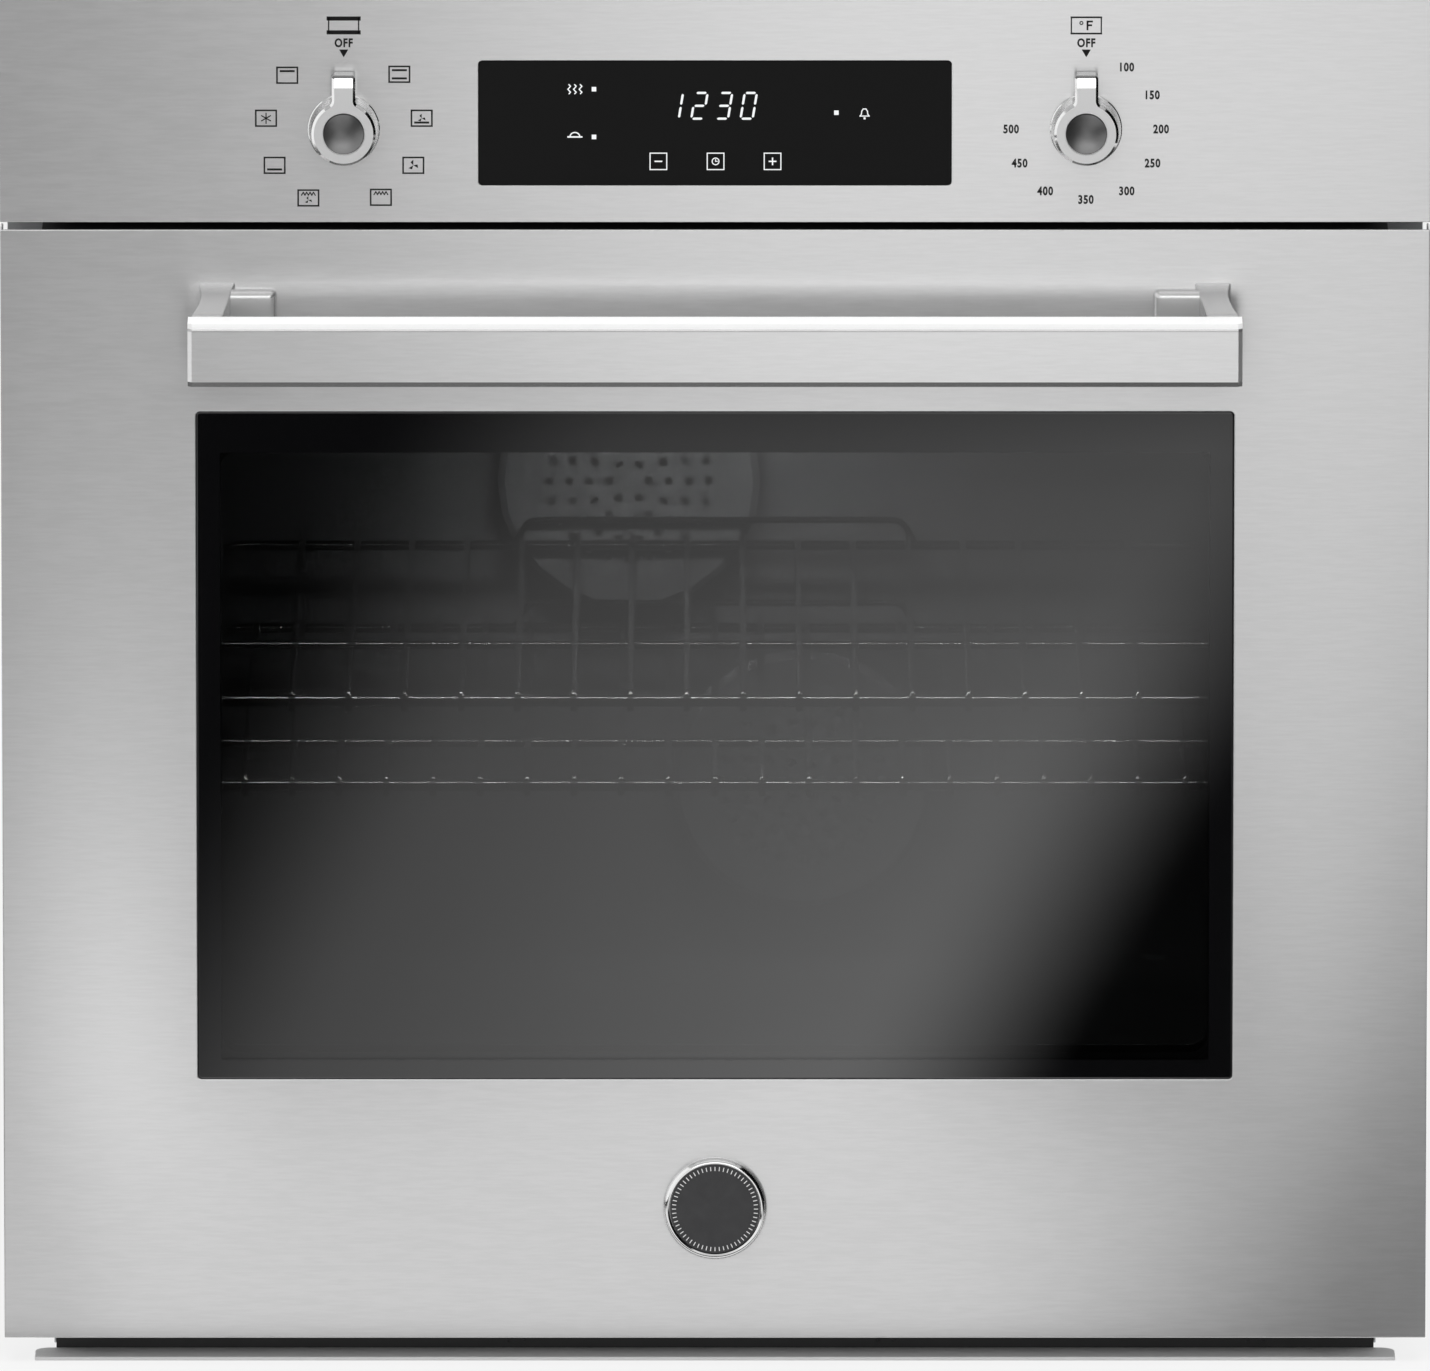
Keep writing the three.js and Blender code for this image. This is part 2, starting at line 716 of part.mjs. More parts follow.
function blowerBox() {
  const half = blowerWidth / 2;
  const { y, z } = blowerAxis;
  const outer = blowerRadius + 12;
  const inner = outer - 1.5;
  const outline = (radius, nose) => {
    const shape = new THREE.Shape();
    shape.moveTo(nose, ductBottom + outer - radius);
    shape.lineTo(y, z - radius - 10);
    shape.absarc(y, z, radius, -Math.PI / 2, Math.PI);
    shape.lineTo(y - radius, ductBottom + ductHeight + radius - outer);
    shape.lineTo(nose, ductBottom + ductHeight + radius - outer);
    return shape;
  };
  const nose = y - outer - 18;
  const body = plateYZ(outline(outer, nose), [-half, half], 6);
  const hollow = plateYZ(outline(inner, nose - 1), [-half + 1.5, half - 1.5], 6);
  const intake = block([-half + 20, half - 20], [y - 16, y + 16], [z + inner - 6, z + outer + 2]);
  const ends = bar([-half - 1, y, z], [half + 1, y, z], shaftRadius + fit, 10);
  return cut(body, hollow, intake, ends);
}

function coolingWheel() {
  const half = blowerWidth / 2 - 8;
  const discs = [-half, 0, half].map((x) => bar([x - 1, 0, 0], [x + 1, 0, 0], blowerRadius, 12));
  const shaft = bar([-blowerWidth / 2 - 6, 0, 0], [blowerWidth / 2 + 6, 0, 0], shaftRadius, 8);
  const blades = [];
  for (let i = 0; i < blowerBlades; i += 1) {
    const blade = block([-half, half], [-0.6, 0.6], [blowerRadius - 8, blowerRadius - 1]);
    blades.push(blade.rotate([(360 * i) / blowerBlades, 0, 0]));
  }
  return join(shaft, ...discs, ...blades);
}

function airDuct() {
  const rear = blowerAxis.y - blowerRadius - 12 - 18 - fit;
  const half = blowerWidth / 2;
  const mouth = ductMouth / 2;
  const [low, high] = [ductBottom, ductBottom + ductHeight];
  const wall = 1.2;
  const outside = loft([cavityFront, [-mouth, mouth], [low, high]], [rear, [-half, half], [low, high]]);
  const inside = loft([cavityFront - 1, [-mouth + wall, mouth - wall], [low + wall, high - wall]],
    [rear + 1, [-half + wall, half - wall], [low + wall, high - wall]]);
  return cut(outside, inside);
}

// ---------------------------------------------------------------- control panel

function controlPanel() {
  const back = frameFront - fit;
  const inner = halfFront - skin;
  const shell = block([-halfFront, halfFront], [0, panelReturn], [panelBottom, panelTop]);
  const hollow = block([-inner, inner], [skin, panelReturn + 1], [panelBottom + skin, panelTop - skin]);
  const ledge = [-halfInside, halfInside];
  const upper = block(ledge, [skin, back], [chassisHeight - skin, chassisHeight]);
  const lower = block(ledge, [skin / 2, back], [panelBottom, panelBottom + skin]);
  const upperFold = block(ledge, [skin / 2, skin * 2], [chassisHeight - skin, panelTop - skin / 2]);
  const display = plateXZ(rectangle([-displayWidth / 2, displayWidth / 2], [displayBottom, displayTop],
    displayCorner), [-1, skin * 2 + 1]);
  const holes = [-1, 1].map((side) => bar([side * knobSpacing / 2, -1, controlHeight],
    [side * knobSpacing / 2, skin + 1, controlHeight], stemRadius + 2, 16));
  return cut(join(cut(shell, hollow), upper, lower, upperFold), display, ...holes);
}

function displayGlassPane() {
  const inset = fit;
  return plateXZ(rectangle([-displayWidth / 2 + inset, displayWidth / 2 - inset],
    [displayBottom + inset, displayTop - inset], displayCorner), [fit, fit + displayThickness]);
}

function controlBoard() {
  const half = displayWidth / 2;
  const zs = [displayBottom, displayTop];
  const front = fit + displayThickness + fit;
  const body = block([-half - boardMargin, half + boardMargin], [front, front + boardDepth],
    [zs[0] - boardMargin, zs[1] + boardMargin - 4]);
  const rim = block([-half - boardMargin, half + boardMargin], [skin + fit, front + 1],
    [zs[0] - boardMargin, zs[1] + boardMargin - 4]);
  const window = block([-half - 1, half + 1], [0, front], [zs[0] - 1, zs[1] + 1]);
  return join(cut(rim, window), body);
}

function switchBody(square) {
  const front = skin + fit;
  const flangePlate = square
    ? block([-24, 24], [front, front + 3], [-24, 24])
    : plateXZ(rectangle([-30, 30], [-16, 16], 15), [front, front + 3]);
  const drum = bar([0, front + 2, 0], [0, front + switchDepth, 0], square ? switchRadius : switchRadius - 3, 16);
  const socket = bar([0, 0, 0], [0, stemLength + fit, 0], stemRadius + fit, 12);
  return cut(join(flangePlate, drum), socket);
}

function controlTray() {
  const half = housingHalf;
  const [y0, y1] = [cavityFront, cavityFront + housingDepth];
  const top = chassisHeight - housingDrop;
  const floor = block([-half, half], [y0, y1], [housingBottom, housingBottom + sheet]);
  const back = block([-half, half], [y1 - sheet, y1], [housingBottom, top]);
  const ends = sides.map(([, side]) => block(sideways(side, half - sheet, half), [y0, y1], [housingBottom, top]));
  return join(floor, back, ...ends);
}

// The knob stands on the Y axis, its base on the panel at Y = 0 and its face towards -Y.
function knob() {
  const face = -knobHeight;
  const base = -fit;
  const body = turned([
    [0, face], [capRadius + 3.4, face], [knobRadius - 0.8, face + 0.5], [knobRadius, face + 1.6],
    [knobRadius, -5], [knobRadius + 0.6, -3], [knobSkirt, -1.6], [knobSkirt, base], [0, base],
  ], 26);
  const half = leverWidth / 2;
  const flare = knobRadius * 0.72;
  const outline = polygon([
    [-flare, knobRadius * 0.55], [-half - 1.6, knobRadius * 0.98], [-half, knobRadius + 3], [-half, leverReach],
    [half, leverReach], [half, knobRadius + 3], [half + 1.6, knobRadius * 0.98], [flare, knobRadius * 0.55],
  ]);
  const side = polygon([
    [face, 0], [face, leverReach - 6], [face + 8, leverReach - 1.5], [base - 1.7, leverReach], [base - 1.7, 0],
  ]);
  const lever = plateXZ(outline, [face, base]).intersect(plateYZ(side, [-knobRadius, knobRadius]));
  const recess = bar([0, face - 1, 0], [0, face + capDepth, 0], capRadius + fit, 20);
  const stem = bar([0, base - 1, 0], [0, stemLength, 0], stemRadius, 12);
  return cut(join(body, lever, stem), recess);
}

function knobCap() {
  const back = -knobHeight + capDepth - fit;
  return turned([
    [0, back - capDepth - 0.2], [capRadius * 0.6, back - capDepth], [capRadius * 0.92, back - capDepth + 0.4],
    [capRadius, back - capDepth + 1], [capRadius, back], [0, back],
  ], 20);
}

// ---------------------------------------------------------------- door

function doorPanel() {
  const shell = block([-halfFront, halfFront], [0, returnDepth], [doorBottom, doorTop]);
  const hollow = block([-halfFront + skin, halfFront - skin], [skin, returnDepth + 1], [doorBottom + skin, doorTop + 1]);
  const window = plateXZ(rectangle([-windowWidth / 2, windowWidth / 2], [windowBottom, windowTop], windowCorner),
    [-1, skin + 1]);
  const notches = sides.map(([, side]) => block(sideways(side, hingeMiddle - armGap, hingeMiddle + armGap),
    [hingeAxis.y - armHeight / 2 - 1.5, returnDepth + 1], [doorBottom - 1, doorBottom + skin + 1]));
  return cut(shell, hollow, window, ...notches);
}

function clearField(grow = 0) {
  return rectangle([-clearWidth / 2 - grow, clearWidth / 2 + grow],
    [clearBottom - grow, clearBottom + clearHeight + grow], clearCorner);
}

function doorLiner() {
  const bottom = doorBottom + linerLift;
  const front = skin + fit;
  const shell = block([-linerHalf, linerHalf], [front, doorDepth], [bottom, linerTop]);
  const hollow = block([-linerHalf + sheet, linerHalf - sheet], [front - 1, doorDepth - sheet],
    [bottom + sheet, linerTop - sheet]);
  const window = plateXZ(clearField(), [doorDepth - sheet - 1, doorDepth + 1]);
  const latch = block(latchSlot, [doorDepth - sheet - 1, doorDepth + 1], [latchHeight - 3, latchHeight + latchThickness + 3]);
  const arms = sides.map(([, side]) => block(sideways(side, hingeMiddle - armGap, hingeMiddle + armGap),
    [hingeAxis.y - armHeight / 2 - 1.5, doorDepth + 1], [bottom - 1, hingeAxis.z + armHeight / 2 + 3]));
  return cut(shell, hollow, window, latch, ...arms);
}

function glassFrame() {
  const half = windowWidth / 2;
  const back = middleGlassSetback - fit;
  const front = skin + fit;
  const seat = fit + glassThickness + fit;
  const body = block([-half - glassFrameRim, half + glassFrameRim], [front, back],
    [windowBottom - glassFrameRim, windowTop + glassFrameRim]);
  const pane = block([-half - fit, half + fit], [front - 1, seat], [windowBottom - fit, windowTop + fit]);
  return cut(body, pane, plateXZ(clearField(), [front, back + 1]));
}

function outerGlass() {
  return plateXZ(rectangle([-windowWidth / 2 + fit, windowWidth / 2 - fit], [windowBottom + fit, windowTop - fit],
    windowCorner), [fit, fit + glassThickness]);
}

function innerPane(front) {
  return plateXZ(clearField(innerGlassMargin), [front, front + glassThickness]);
}

function handleBar() {
  const [y0, y1] = [-handleFront, -handleFront + handleDepth];
  const [z0, z1] = [handleBottom, handleBottom + handleHeight];
  const b = handleBevel;
  const section = polygon([
    [y0, z0 + b], [y0 + b, z0], [y1 - b, z0], [y1, z0 + b], [y1, z1 - b], [y1 - b, z1], [y0 + b, z1], [y0, z1 - b],
  ]);
  const half = handleWidth / 2;
  const plan = polygon([
    [-half + b / 2, y0], [half - b / 2, y0], [half, y0 + b / 2], [half, y1 - b / 2], [half - b / 2, y1],
    [-half + b / 2, y1], [-half, y1 - b / 2], [-half, y0 + b / 2],
  ]);
  return plateYZ(section, [-half, half]).intersect(plateXY(plan, [z0, z1]));
}

// The bracket is a waisted post from the door to the bar, with a foot on the inner side.
function handleBracket(side) {
  const tip = -handleFront + handleDepth + fit;
  const low = handleBottom + handleBevel;
  const high = handleBottom + handleHeight - handleBevel / 2;
  const slices = 6;
  const pieces = [];
  const section = (t) => {
    const flare = (1 - t) ** 2.2;
    const y = -fit + t * (tip + fit);
    const inner = THREE.MathUtils.lerp(postRoot[0], postTip[0], t ** 1.5);
    const outer = THREE.MathUtils.lerp(postRoot[1], postTip[1], t ** 1.5);
    const bottom = THREE.MathUtils.lerp(low, bracketRootBottom, flare);
    const top = THREE.MathUtils.lerp(high, bracketRootTop, flare);
    return [y, sideways(side, inner, outer), [bottom, top]];
  };
  for (let i = 0; i < slices; i += 1) {
    pieces.push(loft(section(i / slices), section((i + 1) / slices)));
  }
  const footTop = bracketRootTop - 3;
  const footBottom = bracketRootBottom + 3;
  const foot = loft([-fit, sideways(side, footReach, postRoot[0] + 4), [footBottom, footTop]],
    [-footDepth, sideways(side, footReach + 3, postRoot[0] + 4), [footBottom + 4, footTop - 4]]);
  return join(...pieces, foot);
}

function badge() {
  const face = -badgeDepth - fit;
  const body = turned([
    [0, face + 1.4], [badgeRadius - badgeRim, face + 1.4], [badgeRadius - badgeRim + 0.8, face],
    [badgeRadius - 1.6, face + 0.4], [badgeRadius, face + 2.4], [badgeRadius, -fit], [0, -fit],
  ], 32);
  return body;
}

// ---------------------------------------------------------------- hinges and latch

function hingeArm(side) {
  const half = armThickness / 2;
  const { y, z } = hingeAxis;
  const nose = armHeight / 2 + 1;
  const outline = new THREE.Shape();
  outline.moveTo(y, z - nose);
  outline.lineTo(armEnd, z - armHeight / 2);
  outline.lineTo(armEnd, z + armHeight / 2 + 10);
  outline.lineTo(armEnd - 8, z + armHeight / 2 + 10);
  outline.lineTo(armEnd - 12, z + armHeight / 2);
  outline.lineTo(y, z + nose);
  outline.absarc(y, z, nose, Math.PI / 2, Math.PI * 1.5);
  const xs = sideways(side, hingeMiddle - half, hingeMiddle + half);
  const eye = bar([xs[0] - 1, y, z], [xs[1] + 1, y, z], pinRadius + fit, 16);
  return cut(plateYZ(outline, xs, 8), eye);
}

function hingeCase(side) {
  const inner = hingeMiddle - caseWidth / 2;
  const outer = hingeMiddle + caseWidth / 2;
  const low = hingeAxis.z - 7;
  const high = low + caseHeight;
  const front = skin + fit * 2;
  const back = doorDepth - sheet - fit * 2;
  const channel = block(sideways(side, inner, outer), [front, back], [low, high]);
  const trough = block(sideways(side, inner + caseWall, outer - caseWall), [front + caseWall, back + 1], [low - 1, high - caseWall]);
  const pin = bar([side * (inner + 1), hingeAxis.y, hingeAxis.z], [side * (outer - 1), hingeAxis.y, hingeAxis.z], pinRadius, 16);
  return join(cut(channel, trough), pin);
}

function hingeReceiver(side) {
  const half = armThickness / 2 + fit;
  const wall = 2;
  const back = armEnd + 16;
  const [low, high] = [hingeAxis.z - armHeight / 2 - 4, receiverTop];
  const front = lowerFront + sheet + fit;
  const shell = block(sideways(side, hingeMiddle - half - wall, hingeMiddle + half + wall), [front, back], [low, high]);
  const slot = block(sideways(side, hingeMiddle - half, hingeMiddle + half), [front - 1, back - wall], [low + 3, high - 6]);
  return cut(shell, slot);
}

function latchBody() {
  const { x, y } = latchPivot;
  const top = latchHeight + latchThickness + fit;
  const plate = block([x - latchPlate.left, x + latchPlate.right], [cavityFront, y + latchPlate.back],
    [top, top + latchPlate.thickness]);
  const pin = bar([x, y, latchHeight - 2], [x, y, top + 1], latchPin, 12);
  return join(plate, pin);
}

// The hook lies along the frame; its claw points to the door when it swings out.
function latchHook() {
  const reach = latchReach;
  const outline = polygon([
    [-7, -5], [-4, -7], [reach - 6, -5], [reach - 5, -13], [reach - 2, -13.4], [reach + 2, -6], [reach, 4], [-3, 7], [-7, 4],
  ]);
  const eye = bar([0, 0, -1], [0, 0, latchThickness + 1], latchPin + fit, 12);
  return cut(plateXY(outline, [0, latchThickness]), eye);
}

// ---------------------------------------------------------------- racks

// A rack at Z = 0, its front rail on Y = 0 and its wires running to the back.
function rack(wirePitch, wireMargin, midRail) {
  const half = rackWidth / 2;
  const wireCount = Math.floor((rackWidth - 2 * wireMargin) / wirePitch) + 1;
  const wireHeight = railRadius * 0.87 + wireRadius * 0.87 - 0.2;
  const rails = [
    bar([-half, 0, 0], [half, 0, 0], railRadius),
    bar([-half, rackDepth, 0], [half, rackDepth, 0], railRadius),
    bar([-half, midRail, 0], [half, midRail, 0], railRadius * 0.8),
    bar([-half, 0, 0], [-half, rackDepth, 0], railRadius),
    bar([half, 0, 0], [half, rackDepth, 0], railRadius),
  ];
  const wires = [];
  for (let i = 0; i < wireCount; i += 1) {
    const x = (i - (wireCount - 1) / 2) * wirePitch;
    wires.push(bar([x, -railRadius - 0.6, wireHeight], [x, rackDepth + 2, wireHeight], wireRadius, 4));
    wires.push(bar([x, -railRadius - 1.4, wireHeight + 1.4], [x, -railRadius - 1.4, -railRadius], wireRadius, 4));
  }
  const stop = stopWidth / 2;
  const rise = wireHeight + stopHeight;
  const guard = [
    bar([-stop - 8, rackDepth, 0], [-stop, rackDepth, rise], wireRadius),
    bar([stop + 8, rackDepth, 0], [stop, rackDepth, rise], wireRadius),
    bar([-stop - 1, rackDepth, rise], [stop + 1, rackDepth, rise], wireRadius),
  ];
  return join(...rails, ...wires, ...guard);
}

// ---------------------------------------------------------------- assembly

const casing = group();
place('base_pan', basePan(), blackSheet, casing);
place('lower_front', lowerFrontSheet(), blackSheet, casing);
place('bottom_trim', bottomTrim(), stainless, casing);
place('top_panel', topPanel(), galvanised, casing);
place('rear_panel', rearPanel(), galvanised, casing);
place('rear_cover', rearCover(), galvanised, casing);
place('terminal_box', terminalBox(), galvanised, casing);
place('front_frame', frontFrame(), enamel, casing);
for (const [name, side] of sides) {
  place(`side_panel_${name}`, sidePanel(side), galvanised, casing);
  place(`flange_${name}`, flange(side), galvanised, casing);
  place(`hinge_arm_${name}`, hingeArm(side), galvanised, casing);
  place(`hinge_receiver_${name}`, hingeReceiver(side), galvanised, casing);
}
place('latch_body', latchBody(), galvanised, casing);

const chamber = group();
place('oven_cavity', ovenCavity(), enamel, chamber);
place('door_gasket', doorGasket(), glassFibre, chamber);
place('broil_element', broilElement(), element, chamber);
for (const [name, side] of sides) {
  place(`rack_support_${name}`, rackSupport(side), wire, chamber);
  place(`oven_lamp_${name}`, ovenLamp(side), lampGlass, chamber);
}

for (const [name, { x, z }] of [['upper', upperFan], ['lower', lowerFan]]) {
  const station = group(x, backWall - coverDepth, z);
  place(`fan_cover_${name}`, fanCover(), enamel, station);
  place(`ring_element_${name}`, ringElement(), element, station);
  place(`fan_motor_${name}`, fanMotor(), galvanised, station);
  place(`convection_fan_${name}`, fanWheel(), galvanised, station);
}

place('blower_housing', blowerBox(), galvanised, casing);
place('air_duct', airDuct(), galvanised, casing);
place('cooling_wheel', coolingWheel(), galvanised, group(0, blowerAxis.y, blowerAxis.z));

const controls = group();
place('control_panel', controlPanel(), stainless, controls);
place('display_glass', displayGlassPane(), displayGlass, controls);
place('control_board', controlBoard(), blackPlastic, controls);
place('control_housing', controlTray(), galvanised, controls);

const leftKnob = group(-knobSpacing / 2, 0, controlHeight);
place('selector_switch', switchBody(true), blackPlastic, leftKnob);
place('function_knob', knob(), polished, leftKnob);
place('function_knob_cap', knobCap(), blackPlastic, leftKnob);
const rightKnob = group(knobSpacing / 2, 0, controlHeight);
place('thermostat', switchBody(false), blackPlastic, rightKnob);
place('temperature_knob', knob(), polished, rightKnob);
place('temperature_knob_cap', knobCap(), blackPlastic, rightKnob);

const door = group();
place('door_panel', doorPanel(), stainless, door);
place('door_liner', doorLiner(), enamel, door);
place('glass_frame', glassFrame(), blackPlastic, door);
place('window_glass_outer', outerGlass(), darkGlass, door);
place('window_glass_middle', innerPane(middleGlassSetback), darkGlass, door);
place('window_glass_inner', innerPane(doorDepth - sheet - fit - glassThickness), darkGlass, door);
place('handle_bar', handleBar(), stainless, door);
for (const [name, side] of sides) {
  place(`handle_bracket_${name}`, handleBracket(side), polished, door);
  place(`hinge_case_${name}`, hingeCase(side), galvanised, door);
}
place('badge', badge(), polished, group(0, 0, badgeHeight));

place('rack_upper', rack(upperWirePitch, upperWireMargin, upperMidRail), wire, group(0, rackNose, upperRackHeight));
place('rack_lower', rack(lowerWirePitch, lowerWireMargin, lowerMidRail), wire, group(0, rackNose, lowerRackHeight));
place('latch_hook', latchHook(), galvanised, group(latchPivot.x, latchPivot.y, latchHeight));

// The origin goes under the middle of the whole: its front is the handle, its back the rear cover.
oven.position.y = (handleFront - rearmost) / 2;

export default oven;
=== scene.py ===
"""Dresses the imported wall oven: finishes, fittings, dial marks, racks and the stage around it."""

import json
import math

import bmesh
import bpy
from bpy.props import FloatProperty, FloatVectorProperty, IntProperty, PointerProperty
from mathutils import Matrix, Vector
from mathutils.geometry import tessellate_polygon

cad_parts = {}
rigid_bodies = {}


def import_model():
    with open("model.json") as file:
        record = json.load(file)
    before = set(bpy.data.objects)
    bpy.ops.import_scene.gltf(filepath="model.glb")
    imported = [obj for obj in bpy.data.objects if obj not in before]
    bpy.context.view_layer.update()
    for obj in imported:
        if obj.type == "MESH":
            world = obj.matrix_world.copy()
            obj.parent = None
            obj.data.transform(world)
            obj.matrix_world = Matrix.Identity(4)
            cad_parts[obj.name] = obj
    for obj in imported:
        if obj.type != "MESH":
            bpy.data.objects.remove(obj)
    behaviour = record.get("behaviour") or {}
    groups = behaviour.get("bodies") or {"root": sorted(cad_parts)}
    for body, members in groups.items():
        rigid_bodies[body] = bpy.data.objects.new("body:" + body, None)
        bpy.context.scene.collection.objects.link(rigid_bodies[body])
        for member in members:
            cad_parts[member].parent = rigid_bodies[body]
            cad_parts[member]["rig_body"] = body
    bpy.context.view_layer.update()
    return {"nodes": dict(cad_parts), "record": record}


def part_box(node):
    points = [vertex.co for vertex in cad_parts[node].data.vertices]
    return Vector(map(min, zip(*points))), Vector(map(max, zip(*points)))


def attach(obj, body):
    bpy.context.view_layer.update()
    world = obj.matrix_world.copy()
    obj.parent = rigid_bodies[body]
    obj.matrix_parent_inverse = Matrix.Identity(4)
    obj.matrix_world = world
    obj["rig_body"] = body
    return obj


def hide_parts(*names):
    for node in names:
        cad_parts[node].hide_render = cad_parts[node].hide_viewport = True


bl_info = {
    "name": "Wall Oven",
    "version": (1, 0, 0),
    "blender": (4, 5, 0),
    "location": "View3D > Sidebar > Oven",
    "description": "Builds the looks of a wall oven around its packed frame",
    "category": "Add Mesh",
}

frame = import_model()
MM = 0.001


def low(node):
    return Vector(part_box(node)[0])


def high(node):
    return Vector(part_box(node)[1])


def middle(node):
    return (low(node) + high(node)) / 2


FRONT = low("door_panel").y  # the plane of the door and the control panel


# ------------------------------------------------------------------ sizes and colours


class FinishSettings(bpy.types.PropertyGroup):
    steel: FloatVectorProperty(
        name="Steel", description="Colour of the brushed stainless steel", subtype="COLOR", default=(0.70, 0.70, 0.70)
    )
    chrome: FloatVectorProperty(
        name="Chrome", description="Colour of the polished fittings", subtype="COLOR", default=(0.86, 0.86, 0.86)
    )
    zinc: FloatVectorProperty(
        name="Zinc", description="Colour of the zinc-coated casing", subtype="COLOR", default=(0.50, 0.51, 0.52)
    )
    enamel: FloatVectorProperty(
        name="Enamel", description="Colour of the cavity's enamel", subtype="COLOR", default=(0.056, 0.056, 0.057)
    )
    ink: FloatVectorProperty(
        name="Ink", description="Colour of the printed dial marks", subtype="COLOR", default=(0.012, 0.012, 0.012)
    )
    glow: FloatVectorProperty(
        name="Display light", description="Colour of the lit figures", subtype="COLOR", default=(0.93, 0.95, 0.96)
    )
    glass_tint: FloatVectorProperty(
        name="Glass tint", description="What the window lets through", subtype="COLOR", default=(0.5, 0.5, 0.5)
    )
    grain: FloatProperty(
        name="Grain", description="Strength of the brushing", default=0.5, min=0.0, max=2.0, subtype="FACTOR"
    )


class KnobSettings(bpy.types.PropertyGroup):
    radius: FloatProperty(name="Radius", description="Of the ring", default=17 * MM, unit="LENGTH")
    skirt: FloatProperty(name="Skirt", description="Radius at the panel", default=19 * MM, unit="LENGTH")
    height: FloatProperty(name="Height", description="From the panel", default=16.4 * MM, unit="LENGTH")
    cap: FloatProperty(name="Cap", description="Radius of the dark cap", default=10.8 * MM, unit="LENGTH")
    lever: FloatProperty(name="Lever", description="Width of the lever", default=12.4 * MM, unit="LENGTH")
    reach: FloatProperty(name="Reach", description="Of the lever from the axis", default=31 * MM, unit="LENGTH")


class RackSettings(bpy.types.PropertyGroup):
    rail: FloatProperty(name="Rail", description="Radius of the outer rails", default=3 * MM, unit="LENGTH")
    wire: FloatProperty(name="Wire", description="Radius of the wires", default=2 * MM, unit="LENGTH")
    upper_count: IntProperty(name="Upper wires", description="Wires of the upper rack", default=16)
    upper_pitch: FloatProperty(name="Upper pitch", description="Between its wires", default=30.05 * MM, unit="LENGTH")
    lower_count: IntProperty(name="Lower wires", description="Wires of the lower rack", default=21)
    lower_pitch: FloatProperty(name="Lower pitch", description="Between its wires", default=25.05 * MM, unit="LENGTH")


class StageSettings(bpy.types.PropertyGroup):
    lens: FloatProperty(name="Lens", description="Focal length", default=800.0, unit="CAMERA")
    pitch: FloatProperty(
        name="Pitch", description="Downward tilt of the camera", default=math.radians(11), subtype="ANGLE"
    )
    field: FloatProperty(name="Field", description="Width seen at the front", default=757.8 * MM, unit="LENGTH")
    aim: FloatProperty(name="Aim", description="Height of the view's middle", default=366.6 * MM, unit="LENGTH")


# ------------------------------------------------------------------ shader maths


class Wire:
    """A socket that takes part in Python arithmetic; each operator adds its node."""

    def __init__(self, nodes, socket):
        self.nodes = nodes
        self.socket = socket

    def _math(self, operation, *terms):
        return self.nodes.value("ShaderNodeMath", {"operation": operation}, dict(enumerate(terms)))

    def __add__(self, other):
        return self._math("ADD", self, other)

    __radd__ = __add__

    def __sub__(self, other):
        return self._math("SUBTRACT", self, other)

    def __rsub__(self, other):
        return self._math("SUBTRACT", other, self)

    def __mul__(self, other):
        return self._math("MULTIPLY", self, other)

    __rmul__ = __mul__

    def __truediv__(self, other):
        return self._math("DIVIDE", self, other)

    def __rtruediv__(self, other):
        return self._math("DIVIDE", other, self)

    def __abs__(self):
        return self._math("ABSOLUTE", self)

    def least(self, other):
        return self._math("MINIMUM", self, other)

    def most(self, other):
        return self._math("MAXIMUM", self, other)

    def sine(self):
        return self._math("SINE", self)

    def step(self, start, end):
        """0 before start, 1 after end, smooth between."""
        inputs = {"Value": self, "From Min": start, "From Max": end}
        return self.nodes.value("ShaderNodeMapRange", {"interpolation_type": "SMOOTHSTEP"}, inputs)


